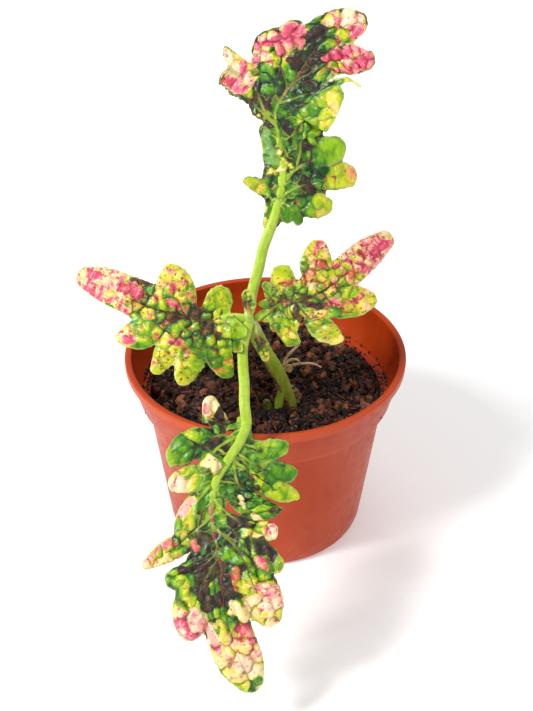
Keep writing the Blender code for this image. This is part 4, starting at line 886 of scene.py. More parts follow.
def quilt_at(puckers, flat):
    """Distance from each flat point to the nearest seam between puckers, and which pucker it is in."""
    centres, towards, stretch, sizes = puckers
    flat = flat + 0.35 * np.stack([waves(flat, 1.8, 5), waves(flat, 1.8, 6)], axis=1)
    seam, which = np.empty(len(flat)), np.empty(len(flat), int)
    for start in range(0, len(flat), 4000):
        part = flat[start : start + 4000]
        away = pucker_reach(part[:, None] - centres[None], towards[None], stretch[None])
        away = away + (1 - sizes[None]) * 0.8
        two = np.argpartition(away, 1, axis=1)[:, :2]
        first, second = np.take_along_axis(away, two, axis=1).T
        swap = first > second
        two[swap] = two[swap][:, ::-1]
        first, second = np.minimum(first, second), np.maximum(first, second)
        apart = np.linalg.norm(centres[two[:, 0]] - centres[two[:, 1]], axis=1)
        seam[start : start + 4000] = (second - first) * (second + first) / (2 * apart)
        which[start : start + 4000] = two[:, 0]
    return seam, which


def vein_lines(plan):
    """The midrib and one vein to each lobe, as (flat points, widths)."""
    end = plan.lobes[0].tip[0]
    along = np.linspace(0, 0.93 * end, 40)
    lines = [(np.stack([along, np.zeros(40)], axis=1), np.interp(along, (0, end), (0.62, 0.2)))]
    for lobe in plan.lobes[1:]:
        root, tip = lobe_line(lobe)[:2]
        forward = 1 if tip[0] >= root[0] else 0.2
        start = np.array((max(0.5, root[0] - (abs(root[1]) + 2.5) * forward), 0.0))
        t = np.linspace(0, 1, 16)[:, None]
        line = (1 - t) ** 2 * start + 2 * t * (1 - t) * root + t**2 * (root + (tip - root) * 0.9)
        lines.append((line, np.linspace(0.42, 0.15, 16)))
    return lines


def vein_at(plan, flat):
    """How near each flat point is to a main vein, from 0 to 1 on its crest."""
    strongest = np.zeros(len(flat))
    for line, widths in vein_lines(plan):
        for k in range(len(line) - 1):
            chord = line[k + 1] - line[k]
            share = np.clip((flat - line[k]) @ chord / (chord @ chord), 0, 1)
            off = flat - line[k] - share[:, None] * chord
            strongest = np.maximum(strongest, np.exp(-(off**2).sum(axis=1) / widths[k] ** 2))
    return strongest


def lobe_values(own, share):
    """The lobe's pale, pink and dark at shares of its length."""
    grown = np.clip((share - 0.1) / 0.75, 0, 1)
    return np.stack([np.interp(grown, np.linspace(0, 1, len(v)), v) for v in own[:3]], axis=1)


def lobe_colours(plan, look, flat):
    """Pale, pink and dark blended from all the lobes near each flat point."""
    total, weights = np.zeros((len(flat), 3)), np.full(len(flat), 1e-9)
    for lobe, own in zip(plan.lobes, look.lobes):
        share = np.clip(along_lobe(lobe, flat)[0], 0, 1)
        weight = np.exp(-np.clip(lobe_distance(lobe, flat), -6, 9) / LOOK_BLEND)
        total += lobe_values(own, share) * weight[:, None]
        weights += weight
    return total / weights[:, None]


def blade_values(plan, look, flat):
    """What the blade's relief and colours come from, with one value of each at every flat point."""
    height, colours, margin, shade, smooth, light_vein, raised = stacked(plan, look, flat)
    seam, pucker = quilt_at(quilt_centres(plan, look), flat)
    return SimpleNamespace(
        height=height, margin=margin, shade=shade, smooth=smooth, light_vein=light_vein, raised=raised,
        pucker=pucker, seam=np.minimum(seam, margin + 0.35),
        vein=vein_at(plan, flat) ** (1 - 0.2 * raised) * (1 - smooth),
        colours=np.vstack([colours, np.zeros(len(flat))]), bright=np.zeros(len(flat)),
    )


def lay_marks(skin, look, flat):
    """Each mark over the ones before it, as colour and, where it has a lift, as a blister with a ring of
    painted shade round it.
    """
    for number, mark in enumerate(look.marks):
        away = fill_distance(mark, flat) + MARK_RAGGED * waves(flat, MARK_WAVE, look.seed + number)
        share = np.clip(0.5 - away / MARK_BLEND, 0, 1)
        skin.colours = skin.colours + share * (np.array(mark.kind)[:, None] - skin.colours)
        if mark.kind[0] > BRIGHT_FROM:
            skin.bright = np.maximum(skin.bright, share)
        if mark.lift:
            inside = np.clip(-away / mark.half_width, 0, 1)
            skin.height = skin.height + mark.lift * (1 - (1 - inside) ** 2)
            skin.seam = np.maximum(skin.seam, np.clip(-away, 0, 0.8))
            skin.vein = skin.vein * (1 - share)
            # A ring of painted shade round each blister.
            beside = np.exp(-np.abs(away) / 0.3)
            skin.shade = np.maximum(skin.shade * (1 - share), beside * (1 - share))


def fine_relief(skin, look, flat):
    """Height of the puckers, of sunken or raised veins and of small waves."""
    reach = QUILT_REACH * look.cell / QUILT_CELL
    dome = 1 - (1 - np.clip(skin.seam / reach, 0, 1)) ** QUILT_DOME
    inwards = np.clip(skin.margin / QUILT_FROM_EDGE, 0, 1)
    inwards = inwards * inwards * (3 - 2 * inwards)
    flatter = 1 - 0.55 * np.clip(1.6 * skin.colours[2], 0, 1)
    quilt = QUILT_HEIGHT * look.cell / QUILT_CELL * (dome - 0.6) * inwards * (1 - skin.smooth) * flatter
    veins = VEIN_DEPTH * skin.vein * (1 - 1.8 * skin.raised) * inwards
    small = SMALL_WAVE * waves(flat, 1.3, look.seed + 40) * inwards * (1 - 0.6 * skin.smooth)
    return quilt * (1 - 1.7 * skin.raised) - veins + small


def darken_edge(skin, look, flat):
    """A dark edge that is broken here and there and weak on bright marks."""
    broken = np.clip(0.6 + 0.8 * waves(flat, 5, look.seed + 3), 0, 1)
    rim = look.rim * np.exp(-((skin.margin / DARK_EDGE_WIDTH) ** 2)) * broken
    rim = rim * (1 - skin.smooth) * (1 - 0.8 * skin.bright)
    skin.colours[0] -= 0.55 * rim
    skin.colours[2] += 0.95 * rim


def turned_up(middle, triangles, face):
    """The triangles turned to the leaf's face, and the normal at each of its points."""
    corner = middle[triangles]
    across = np.cross(corner[:, 1] - corner[:, 0], corner[:, 2] - corner[:, 0])
    if (across * face[triangles[:, 0]]).sum() < 0:
        triangles, across = triangles[:, ::-1], -across
    normals = np.stack(
        [sum(np.bincount(triangles[:, k], across[:, axis], len(middle)) for k in range(3))
         for axis in range(3)], axis=1
    )
    return triangles, normals / np.maximum(np.linalg.norm(normals, axis=1), 1e-9)[:, None]


def sheet_faces(triangles, count):
    """The triangles, the same turned over for the underside, and a band that closes the edge."""
    faces = triangles.tolist() + (triangles[:, ::-1] + count).tolist()
    used = {(a, b) for tri in triangles.tolist() for a, b in zip(tri, tri[1:] + tri[:1])}
    for a, b in used:
        if (b, a) not in used:
            faces.append((b, a, a + count, b + count))
    return faces


def build_blade(name, plan, look, kind, spacing, offset):
    """The quilted blade: a thin closed sheet whose two faces follow the same puckers and veins."""
    flat, triangles = clipped_grid(
        lambda points: blade_distance(plan, points), *flat_box(plan, BLADE_BORDER), spacing
    )
    count = len(flat)
    skin = blade_values(plan, look, flat)
    lay_marks(skin, look, flat)
    fine = fine_relief(skin, look, flat)
    darken_edge(skin, look, flat)
    centre, side, face = leaf_frame(plan, flat[:, 0])
    middle = centre + side * flat[:, 1:] + face * (skin.height + fine)[:, None]
    triangles, normals = turned_up(middle, triangles, face)
    thinning = 1 - np.exp(-np.maximum(0, -blade_distance(plan, flat)) / EDGE_THINS_OVER)
    half = (EDGE_THICKNESS + (BLADE_THICKNESS - EDGE_THICKNESS) * thinning) / 2
    under = half + VEIN_RIDGE * skin.vein * thinning * (1 - skin.raised)
    points = np.concatenate([middle + normals * half[:, None], middle - normals * under[:, None]])
    piece = new_piece(name, points, sheet_faces(triangles, count), [kind])
    draws = np.random.default_rng(look.seed + 1).uniform(0, 1, (3, skin.pucker.max() + 1))
    draws = draws[:, skin.pucker]
    pale, pink, dark, dull = skin.colours
    for title, values in (
        ("Pale", pale), ("Pink", pink), ("Dark", dark), ("LightVein", skin.light_vein),
        ("Vein", skin.vein), ("Seam", skin.seam), ("Margin", skin.margin), ("Cell", draws[0]),
        ("PinkCell", draws[1]), ("DarkCell", draws[2]), ("Shade", skin.shade),
        ("Smooth", skin.smooth), ("Dull", dull),
    ):
        add_values(piece, title, np.r_[values, values])
    add_values(piece, "Under", np.r_[np.zeros(count), np.ones(count)])
    place = np.c_[flat, np.full(count, offset)]
    add_places(piece, "Place", np.r_[place, place])
    return piece


def build_stalk(name, plan, look, kind):
    """The leaf's stalk, which runs on under the blade as the midrib."""
    path, lengths, base = leaf_path(plan, STALK_SPACING)
    end = int(np.searchsorted(lengths, base + RIB_END_SHARE * (lengths[-1] - base)))
    thick, thin = plan.radius
    share = np.clip((lengths - base) / (lengths[-1] - base), 0, 1)
    radii = thick + (thin - thick) * share
    _, _, face = leaf_frame(plan, lengths - base)
    along_rib = np.stack([lengths - base, np.zeros(len(path))], axis=1)
    under_blade = np.clip(along_rib[:, 0] / RIB_SINKS_OVER, 0, 1)
    stations = np.array(look.rib, float)
    tone, proud = (np.interp(share, stations[:, 0], stations[:, k]) for k in (1, 2))
    height = blade_relief(plan, along_rib) - VEIN_DEPTH - RIB_SUNK_SHARE * radii + proud * radii
    window = 2 * RIB_SMOOTHING + 1
    height = np.convolve(np.pad(height, RIB_SMOOTHING, "edge"), np.full(window, 1), "valid") / window
    path = path + face * (under_blade * height)[:, None]
    points, faces, along, turn = swept(path[:end], radii[:end], 20, grooved, 3, 3)
    piece = new_piece(name, points, faces, [kind])
    add_values(piece, "Tone", np.interp(along, np.linspace(0, 1, end), tone[:end]))
    # cos(2·turn) peaks on the stalk's two flanks, where the stem skin paints a sheen.
    add_values(piece, "Around", np.cos(2 * turn))
    return piece


def grooved(turn):
    """A slightly squared outline with a shallow groove on each side, as on the plant's stem."""
    return 1 + 0.05 * np.cos(4 * turn + math.pi) - 0.03 * np.cos(8 * turn)


# Materials

def add_node(tree, kind, inputs=(), **settings):
    """A node with its settings, where each input is a value or another node's output."""
    made = tree.nodes.new(kind)
    for key, value in settings.items():
        setattr(made, key, value)
    for key, value in dict(inputs).items():
        if isinstance(value, bpy.types.NodeSocket):
            tree.links.new(value, made.inputs[key])
        else:
            made.inputs[key].default_value = value
    return made


def rgba(red, green, blue):
    """A screen colour, 0 to 255, as the shader's linear one."""
    linear = (c / 12.92 if c <= 0.04045 else ((c + 0.055) / 1.055) ** 2.4
              for c in (red / 255, green / 255, blue / 255))
    return (*linear, 1.0)


class Shade:
    """A material's node tree, with short calls for its nodes. Colours are screen ones, 0 to 255."""

    def __init__(self, name, roughness, specular=0.5):
        self.material = bpy.data.materials.new(name)
        self.material.use_nodes = True
        self.tree = self.material.node_tree
        self.read = {}
        self.shader = self.tree.nodes["Principled BSDF"]
        self.shader.inputs["Roughness"].default_value = roughness
        self.shader.inputs["Specular IOR Level"].default_value = specular

    def node(self, kind, inputs=(), **settings):
        return add_node(self.tree, "ShaderNode" + kind, inputs, **settings)

    def value(self, name, output="Fac"):
        """What the mesh holds under this name."""
        if name not in self.read:
            self.read[name] = self.node("Attribute", attribute_name=name).outputs[output]
        return self.read[name]

    def place(self):
        return self.node("TexCoord").outputs["Object"]

    def math(self, operation, a, b=0.0, c=0.0, clamp=False):
        inputs = {0: a, 1: b, 2: c}
        return self.node("Math", inputs, operation=operation, use_clamp=clamp).outputs[0]

    def plus(self, total, *terms):
        """The first value and each (value, weight) added to it."""
        for value, weight in terms:
            total = self.math("MULTIPLY_ADD", value, weight, total)
        return total

    def times(self, total, *values):
        for value in values:
            total = self.math("MULTIPLY", total, value)
        return total

    def between(self, value, low, high, to_low=0.0, to_high=1.0):
        """The value moved smoothly from one range into another."""
        keys = ("Value", "From Min", "From Max", "To Min", "To Max")
        inputs = dict(zip(keys, (value, low, high, to_low, to_high)))
        return self.node("MapRange", inputs, interpolation_type="SMOOTHSTEP").outputs["Result"]

    def noise(self, vector, scale, detail=2.0, rough=0.5):
        inputs = {"Vector": vector, "Scale": scale, "Detail": detail, "Roughness": rough}
        return self.node("TexNoise", inputs).outputs["Fac"]

    def clouds(self, vector, scale, detail):
        return self.between(self.noise(vector, scale, detail), 0.3, 0.7)

    def streaks(self, place, scale, detail):
        """Noise that is drawn out along the axis with the smallest scale."""
        drawn_out = self.node("Mapping", {"Vector": place, "Scale": scale}).outputs[0]
        return self.noise(drawn_out, 1.0, detail)

    def vector_math(self, operation, a, b):
        return self.node("VectorMath", {0: a, 1: b}, operation=operation).outputs[0]

    def mix(self, share, a, b, blend="MIX"):
        a, b = (v if isinstance(v, bpy.types.NodeSocket) else rgba(*v) for v in (a, b))
        inputs = {MIX_SHARE: share, MIX_FIRST: a, MIX_SECOND: b}
        return self.node("Mix", inputs, data_type="RGBA", blend_type=blend).outputs[MIX_RESULT]

    def ramp(self, value, *stops):
        """A colour for each value, blended between stops of (place, red, green, blue)."""
        made = self.node("ValToRGB", {"Fac": value})
        elements = made.color_ramp.elements
        while len(elements) < len(stops):
            elements.new(0.5)
        for element, (place, *colour) in zip(elements, stops):
            element.position = place
            element.color = rgba(*colour)
        return made.outputs["Color"]

    def bump(self, height, strength, distance):
        inputs = {"Strength": strength, "Distance": distance * MM, "Height": height}
        return self.node("Bump", inputs).outputs["Normal"]

    def set(self, **inputs):
        for key, value in inputs.items():
            self.tree.links.new(value, self.shader.inputs[key.replace("_", " ")])


Patterns = namedtuple("Patterns", "moved angular blotchy leafy soft fine domed plain")


def leaf_patterns(shade):
    """What the leaf's colours share: blocks with crisp, angular edges, soft clouds and the domes."""
    place = shade.value("Place", "Vector")
    wobble = shade.node("TexNoise", {"Vector": place, "Scale": 1.6, "Detail": 2.0}).outputs["Color"]
    moved = shade.vector_math("ADD", place, shade.vector_math("MULTIPLY", wobble, (0.8, 0.8, 0.8)))
    blocks = shade.node("TexVoronoi", {"Vector": moved, "Scale": 1.5}, feature="F1").outputs["Position"]
    calm = shade.plus(1.0, (shade.value("Smooth"), -0.8))
    return Patterns(
        moved=moved,
        angular=shade.clouds(blocks, 0.42, 1.5),
        blotchy=shade.clouds(shade.vector_math("ADD", blocks, (7, 61, 0)), 0.5, 1.5),
        leafy=shade.clouds(shade.vector_math("ADD", blocks, (93, 18, 0)), 0.24, 1.0),
        soft=shade.clouds(place, 0.55, 2.0),
        fine=shade.clouds(place, 2.2, 2.0),
        domed=shade.between(shade.value("Seam"), 0.0, 1.3),
        plain=shade.times(calm, shade.plus(1.0, (shade.value("LightVein"), -0.55))),
    )


def greens(shade, seen, warmth):
    """Green to cream, each pucker in its own tone and paler on its dome as a painted highlight, with a few
    flat green patches.
    """
    plus, times, pale = shade.plus, shade.times, shade.value("Pale")
    own = plus(-0.45, (shade.value("Cell"), 0.5))
    varied = plus(own, (seen.soft, 0.22), (seen.fine, 0.06), (seen.angular, 0.12))
    # The pale value raised on the tops of the puckers: a painted highlight.
    domes = plus(pale, (times(seen.domed, seen.plain), 0.14), (-0.08, 1.0))
    tone = shade.math("ADD", domes, times(varied, seen.plain), clamp=True)
    colour = shade.ramp(
        tone, (0.0, 10, 36, 12), (0.16, 22, 74, 16), (0.32, 72, 140, 10), (0.48, 146, 188, 4),
        (0.62, 206, 208, 22), (0.78, 250, 218, 100), (0.9, 255, 232 - 12 * warmth, 172 - 12 * warmth),
        (1.0, 255, 222 - 8 * warmth, 184 - 32 * warmth),
    )
    off_cream = shade.between(pale, 0.6, 0.9, 1.0, 0.0)
    patch = times(shade.between(seen.leafy, 0.8, 0.83), seen.plain, off_cream)
    flat_green = shade.mix(seen.blotchy, (34, 96, 22), (96, 160, 26))
    return tone, patch, shade.mix(times(patch, 0.85), colour, flat_green)


def pinks(shade, seen, colour, patch):
    """Pink and magenta patches, more salmon where the blade is green, and lighter on the domes as a painted
    highlight.
    """
    plus, pink, cell = shade.plus, shade.value("Pink"), shade.value("PinkCell")
    spread = plus(pink, (seen.angular, 0.7), (seen.soft, 0.3), (cell, 0.35), (seen.domed, 0.08),
                  (patch, -0.5))
    deeper = shade.between(pink, 0.9, 1.5, 0.0, 0.45)
    # Lower on the domes, so the pink is lighter on their tops: a painted highlight.
    deep = plus(-0.02, (seen.blotchy, 0.6), (cell, 0.4), (seen.fine, 0.2), (deeper, 1.0),
                (seen.domed, -0.26))
    rosy = shade.ramp(
        deep, (0.2, 255, 176, 158), (0.42, 250, 118, 146), (0.66, 238, 44, 118), (1.0, 204, 8, 88)
    )
    rusty = shade.ramp(deep, (0.2, 226, 132, 76), (0.6, 206, 82, 56), (1.0, 150, 36, 40))
    tone = shade.mix(shade.between(shade.value("Pale"), 0.5, 0.82), rusty, rosy)
    return shade.mix(shade.times(shade.between(spread, 1.24, 1.36), 0.9), colour, tone)


def maroons(shade, seen, colour, warmth):
    """Maroon along the seams, and over whole puckers where it is thick."""
    plus, times = shade.plus, shade.times
    dark, seam = shade.value("Dark"), shade.value("Seam")
    whole = plus(dark, (shade.value("DarkCell"), 1.0), (seen.blotchy, 0.1))
    whole = shade.math("GREATER_THAN", whole, 1.32)
    cover = plus(times(dark, 1.05), (seam, -0.85), (times(seam, shade.value("LightVein")), 0.6),
                 (seen.fine, 0.22), (seen.blotchy, 0.34), (whole, 1.2), (-0.42, 1.0))
    share = times(shade.between(cover, 0.0, 0.14), shade.between(dark, 0.0, 0.12))
    clouded = plus(seen.soft, (seen.fine, 0.3))
    plum = shade.ramp(clouded, (0.2, 16, 10, 10), (0.6, 34, 16, 16), (1.0, 70, 30, 30))
    brown = shade.ramp(clouded, (0.2, 28, 12, 6), (0.6, 62, 26, 12), (1.0, 118, 52, 24))
    return share, shade.mix(times(share, 0.92), colour, shade.mix(warmth, plum, brown))


def specks(shade, seen, colour, warmth):
    """Red and rusty specks, and a few near-black ones."""
    rusty = 0.25 + 0.5 * warmth
    for scale, size, tint, least in (
        (0.8, 0.56, (206, 30, 66), 0.45), (0.62, rusty, (150, 42, 24), 0.34),
        (1.2, rusty, (128, 30, 20), 0.3), (0.5, 0.26, (60, 16, 20), 0.05),
    ):
        dots = shade.node("TexVoronoi", {"Vector": seen.moved, "Scale": scale}, feature="F1").outputs
        speck = shade.math("LESS_THAN", dots["Distance"], shade.plus(-0.32 * size, (dots["Color"], size)))
        bright = shade.between(shade.value("Pale"), least, least + 0.3)
        colour = shade.mix(shade.times(speck, bright, 0.8), colour, tint)
    return colour


def veins(shade, seen, colour, warmth):
    """Veins, and painted shade in the creases between puckers."""
    plus, times = shade.plus, shade.times
    seam, light = shade.value("Seam"), shade.value("LightVein")
    tint = shade.mix(light, shade.mix(warmth, (70, 28, 30), (96, 44, 26)), (158, 184, 48))
    width = plus(0.2, (light, 0.12))
    thin = shade.between(shade.math("DIVIDE", seam, width), 0.0, 1.0, 1.0, 0.0)
    weight = plus(0.12 + 0.25 * warmth, (shade.value("Dark"), 0.75), (light, 0.6))
    thin = times(thin, plus(weight, (shade.value("Smooth"), -0.45)))
    on_pale = shade.between(shade.value("Pale"), 0.5, 0.95, 1.0, 0.25)
    main = times(shade.between(shade.value("Vein"), 0.3, 0.75), on_pale)
    share = shade.math("MAXIMUM", main, thin, clamp=True)
    # Painted shade: darker towards the seams between puckers, weaker on light veins and smooth parts.
    painted_crease_shade = times(shade.between(seam, 0.0, 0.9, 0.6, 0.0), seen.plain, plus(1.0, (light, -0.7)))
    colour = shade.mix(painted_crease_shade, colour, shade.mix(1.0, colour, (126, 100, 60), "MULTIPLY"))
    return shade.mix(times(share, 0.9), colour, tint)


def edges(shade, colour, tone, dark_share):
    """The fine bright margin, and the shade beside a lobe that lies on top."""
    rim = shade.between(shade.value("Margin"), 0.1, 0.5, 0.85, 0.0)
    tint = shade.ramp(tone, (0.1, 96, 144, 56), (0.55, 190, 208, 92), (1.0, 246, 226, 170))
    colour = shade.mix(shade.times(rim, shade.plus(1.0, (dark_share, -0.75))), colour, tint)
    return shade.mix(shade.times(shade.value("Shade"), 0.8), colour, (34, 38, 14))


def leaf_skin(name, warmth):
    """Green, cream and pink mosaic with maroon blotches, paler below, over sunken veins."""
    shade = Shade(name, 0.42, 0.5)
    shade.shader.inputs["Coat Weight"].default_value = 0.12
    shade.shader.inputs["Coat Roughness"].default_value = 0.22
    seen = leaf_patterns(shade)
    tone, patch, colour = greens(shade, seen, warmth)
    colour = pinks(shade, seen, colour, patch)
    dark_share, colour = maroons(shade, seen, colour, warmth)
    colour = specks(shade, seen, colour, warmth)
    colour = veins(shade, seen, colour, warmth)
    colour = edges(shade, colour, tone, dark_share)
    under = shade.value("Under")
    dusty = shade.mix(0.55, colour, (128, 168, 104))
    grain = shade.noise(shade.value("Place", "Vector"), 5.5, 3.0, 0.6)
    rough = shade.plus(grain, (under, 1.0), (dark_share, 0.9))
    shade.set(
        Base_Color=shade.mix(shade.math("MAXIMUM", under, shade.value("Dull")), colour, dusty),
        Roughness=shade.between(rough, 0.3, 1.3, 0.3, 0.66),
        Normal=shade.bump(grain, 0.35, 0.12),
    )
    return shade.material


def stem_skin():
    """Pale yellow-green with a painted sheen along the stalk's two flanks, translucent-looking streaks and
    a few green flecks.
    """
    shade = Shade("stem_skin_fresh", 0.4)
    place, tone = shade.place(), shade.value("Tone")
    streaks = shade.streaks(place, (900, 500, 120), 3.0)
    # Paler on the stalk's two flanks: a painted sheen.
    flank_sheen = shade.times(shade.value("Around"), 0.22)
    lit = shade.math("ADD", shade.times(streaks, 0.6), flank_sheen, clamp=True)
    colour = shade.ramp(
        lit, (0.05, 160, 196, 40), (0.3, 192, 216, 72), (0.55, 216, 230, 120), (0.85, 238, 244, 196)
    )
    flecks = shade.between(shade.noise(place, 420, 2.0), 0.6, 0.72, 0.0, 0.35)
    colour = shade.mix(flecks, colour, (112, 158, 30))
    warm = shade.ramp(
        tone, (0.0, 190, 206, 70), (0.35, 168, 124, 66), (0.7, 142, 62, 56), (1.0, 98, 24, 44)
    )
    shade.set(
        Base_Color=shade.mix(shade.between(tone, 0.02, 0.3), colour, warm),
        Roughness=shade.between(shade.noise(place, 1500, 3.0), 0.3, 0.7, 0.34, 0.55),
        Normal=shade.bump(streaks, 0.5, 0.15),
    )
    return shade.material


def main_stem_skin():
    """The stem's green, with a tan scar on its left edge and a brown torn foot."""
    shade = Shade("stem_skin_old", 0.45)
    place = shade.place()
    streaks = shade.streaks(place, (800, 600, 140), 3.0)
    rough = shade.noise(place, 900, 4.0)
    colour = shade.ramp(streaks, (0.25, 142, 188, 36), (0.5, 178, 214, 58), (0.75, 212, 230, 122))
    colour = shade.mix(shade.times(shade.value("High"), 0.6), colour, (208, 224, 156))
    colour = shade.mix(shade.times(shade.value("Low"), 0.4), colour, (140, 190, 24))
    scarred = shade.math("ADD", shade.value("Scar"), shade.times(rough, 0.5))
    scarred = shade.between(scarred, 0.62, 0.85)
    bark = shade.ramp(rough, (0.3, 70, 40, 26), (0.5, 150, 112, 78), (0.7, 226, 200, 160))
    shade.set(
        Base_Color=shade.mix(scarred, colour, bark),
        Roughness=shade.between(scarred, 0, 1, 0.4, 0.8),
        Normal=shade.bump(shade.math("ADD", streaks, rough), 0.5, 0.2),
    )
    return shade.material


def shoot_skin():
    """Olive green with a dark centre where the old shoot was cut."""
    shade = Shade("stub_skin", 0.45)
    grain = shade.noise(shade.place(), 700, 3.0)
    colour = shade.ramp(grain, (0.3, 86, 96, 26), (0.7, 150, 160, 62))
    colour = shade.mix(shade.value("Cut"), colour, (40, 30, 16))
    shade.set(Base_Color=colour, Normal=shade.bump(grain, 0.4, 0.15))
    return shade.material


def root_skin():
    """Cream rootlets, browner in patches."""
    shade = Shade("rootlet_skin", 0.6)
    grain = shade.noise(shade.place(), 480, 3.0)
    colour = shade.ramp(grain, (0.25, 168, 126, 82), (0.5, 226, 192, 146), (0.8, 246, 224, 190))
    shade.set(Base_Color=colour, Normal=shade.bump(grain, 0.4, 0.1))
    return shade.material


def hair_skin():
    """Fine clear hairs, near white."""
    shade = Shade("stem_hair", 0.35)
    grain = shade.noise(shade.place(), 300, 1.0)
    shade.set(Base_Color=shade.ramp(grain, (0.3, 222, 230, 190), (0.7, 250, 252, 244)))
    return shade.material


def pot_plastic():
    """Terracotta-coloured plastic, lighter along its lip and the step's edge, darker inside with painted
    shade, with scuffs and soil dust.
    """
    shade = Shade("pot_plastic_moulded", 0.42, 0.3)
    place = shade.place()
    fine = shade.noise(place, 340, 4.0, 0.6)
    streaks = shade.streaks(place, (260, 260, 30), 4.0)
    broad = shade.times(shade.noise(place, 28, 3.0), 0.7)
    colour = shade.ramp(
        shade.math("ADD", broad, shade.times(streaks, 0.3)),
        (0.3, 168, 50, 8), (0.5, 182, 60, 11), (0.7, 194, 74, 20),
    )
    # Lighter along the lip and along the step's edge.
    colour = shade.mix(shade.times(shade.value("Edge"), 0.6), colour, (212, 90, 48))
    scuff = shade.between(shade.noise(place, 90, 6.0, 0.7), 0.6, 0.72, 0.0, 0.3)
    colour = shade.mix(scuff, colour, (208, 124, 92))
    # The inner wall darker: painted shade inside the pot.
    colour = shade.mix(shade.times(shade.value("Inside"), 0.6), colour, (150, 40, 8))
    dirt = shade.between(shade.noise(place, 210, 5.0, 0.7), 0.62, 0.7)
    shade.set(
        Base_Color=shade.mix(shade.times(dirt, shade.value("Dust")), colour, (58, 30, 20)),
        Roughness=shade.between(shade.math("ADD", fine, scuff), 0.3, 0.9, 0.34, 0.6),
        Normal=shade.bump(shade.math("ADD", fine, shade.times(streaks, 0.6)), 0.25, 0.12),
    )
    return shade.material


def soil_skin():
    """Damp near-black peat with redder fibres in it."""
    shade = Shade("potting_soil_damp", 0.85, 0.4)
    place = shade.place()
    coarse = shade.noise(place, 160, 5.0, 0.65)
    fine = shade.noise(place, 900, 4.0, 0.6)
    shade.set(
        Base_Color=shade.ramp(
            coarse, (0.35, 5, 4, 4), (0.5, 14, 8, 7), (0.62, 34, 18, 12), (0.75, 80, 40, 22)
        ),
        Roughness=shade.between(fine, 0.35, 0.65, 0.55, 0.95),
        Normal=shade.bump(shade.math("ADD", coarse, fine), 0.9, 0.5),
    )
    return shade.material


def crumb_skin(name, roughness, *stops):
    """A crumb's or a fibre's colour, different from one to the next."""
    shade = Shade(name, roughness, 0.4)
    grain = shade.noise(shade.place(), 1100, 3.0)
    own = shade.times(shade.value("Own"), 0.75)
    tone = shade.math("ADD", own, shade.times(grain, 0.3), clamp=True)
    shade.set(Base_Color=shade.ramp(tone, *stops), Normal=shade.bump(grain, 0.7, 0.25))
    return shade.material


# Scattered pieces by Geometry Nodes

def scatter_tree(name, shape, kind):
    """Copies of a shape over a surface: density, size and lean are inputs, the seed is fixed."""
    tree = bpy.data.node_groups.new(name, "GeometryNodeTree")
    for title, preset, kind_of_socket in (
        ("Surface", None, "Geometry"), ("Density", 1e5, "Float"), ("Smallest", 1.0, "Float"),
        ("Largest", 1.0, "Float"), ("Lean", 0.5, "Float"), ("Seed", 1, "Int"),
    ):
        socket = tree.interface.new_socket(
            title, in_out="INPUT", socket_type="NodeSocket" + kind_of_socket
        )
        if preset is not None:
            socket.default_value = preset
    tree.interface.new_socket("Scattered", in_out="OUTPUT", socket_type="NodeSocketGeometry")

    def add(kind_of_node, inputs=(), **settings):
        return add_node(tree, kind_of_node, inputs, **settings).outputs

    given = add("NodeGroupInput")
    dense = add("GeometryNodeInputNamedAttribute", {"Name": "Dense"}, data_type="FLOAT")["Attribute"]
    amount = add("ShaderNodeMath", {0: dense, 1: given["Density"]}, operation="MULTIPLY")[0]
    spread = add("GeometryNodeDistributePointsOnFaces",
                 {"Mesh": given["Surface"], "Density": amount, "Seed": given["Seed"]},
                 distribute_method="RANDOM")
    size = add("FunctionNodeRandomValue", {2: given["Smallest"], 3: given["Largest"]},
               data_type="FLOAT")[1]
    back = add("ShaderNodeMath", {0: given["Lean"], 1: -1.0}, operation="MULTIPLY")[0]
    lean = add("FunctionNodeRandomValue", {0: back, 1: given["Lean"]}, data_type="FLOAT_VECTOR")[0]
    tilt = add("FunctionNodeEulerToRotation", {0: lean})[0]
    turn = add("FunctionNodeRotateRotation", {0: spread["Rotation"], 1: tilt}, rotation_space="LOCAL")[0]
    one = add("GeometryNodeObjectInfo", {"Object": shape})["Geometry"]
    copies = add("GeometryNodeInstanceOnPoints",
                 {"Points": spread["Points"], "Instance": one, "Rotation": turn, "Scale": size})[0]
    own = add("FunctionNodeRandomValue", data_type="FLOAT")[1]
    kept = add("GeometryNodeStoreNamedAttribute", {"Geometry": copies, "Name": "Own", "Value": own},
               data_type="FLOAT", domain="INSTANCE")[0]
    real = add("GeometryNodeRealizeInstances", {0: kept})[0]
    painted = add("GeometryNodeSetMaterial", {"Geometry": real, "Material": kind})[0]
    add("NodeGroupOutput", {0: painted})
    return tree


def scattered(name, surface, shape, kind, **sizes):
    """A mesh piece made of copies of the shape over the surface."""
    tree = scatter_tree(name + "_tree", shape, kind)
    holder = bpy.data.objects.new(name + "_holder", surface.data.copy())
    bpy.context.scene.collection.objects.link(holder)
    modifier = holder.modifiers.new("Scatter", "NODES")
    modifier.node_group = tree
    for socket in tree.interface.items_tree:
        if socket.in_out == "INPUT" and socket.name in sizes:
            modifier[socket.identifier] = sizes[socket.name]
    bpy.context.view_layer.update()
    graph = bpy.context.evaluated_depsgraph_get()
    mesh = bpy.data.meshes.new_from_object(holder.evaluated_get(graph))
    bpy.data.objects.remove(holder, do_unlink=True)
    mesh.name = name
    if not mesh.materials:
        mesh.materials.append(kind)
    piece = bpy.data.objects.new(name, mesh)
    bpy.context.scene.collection.objects.link(piece)
    return piece


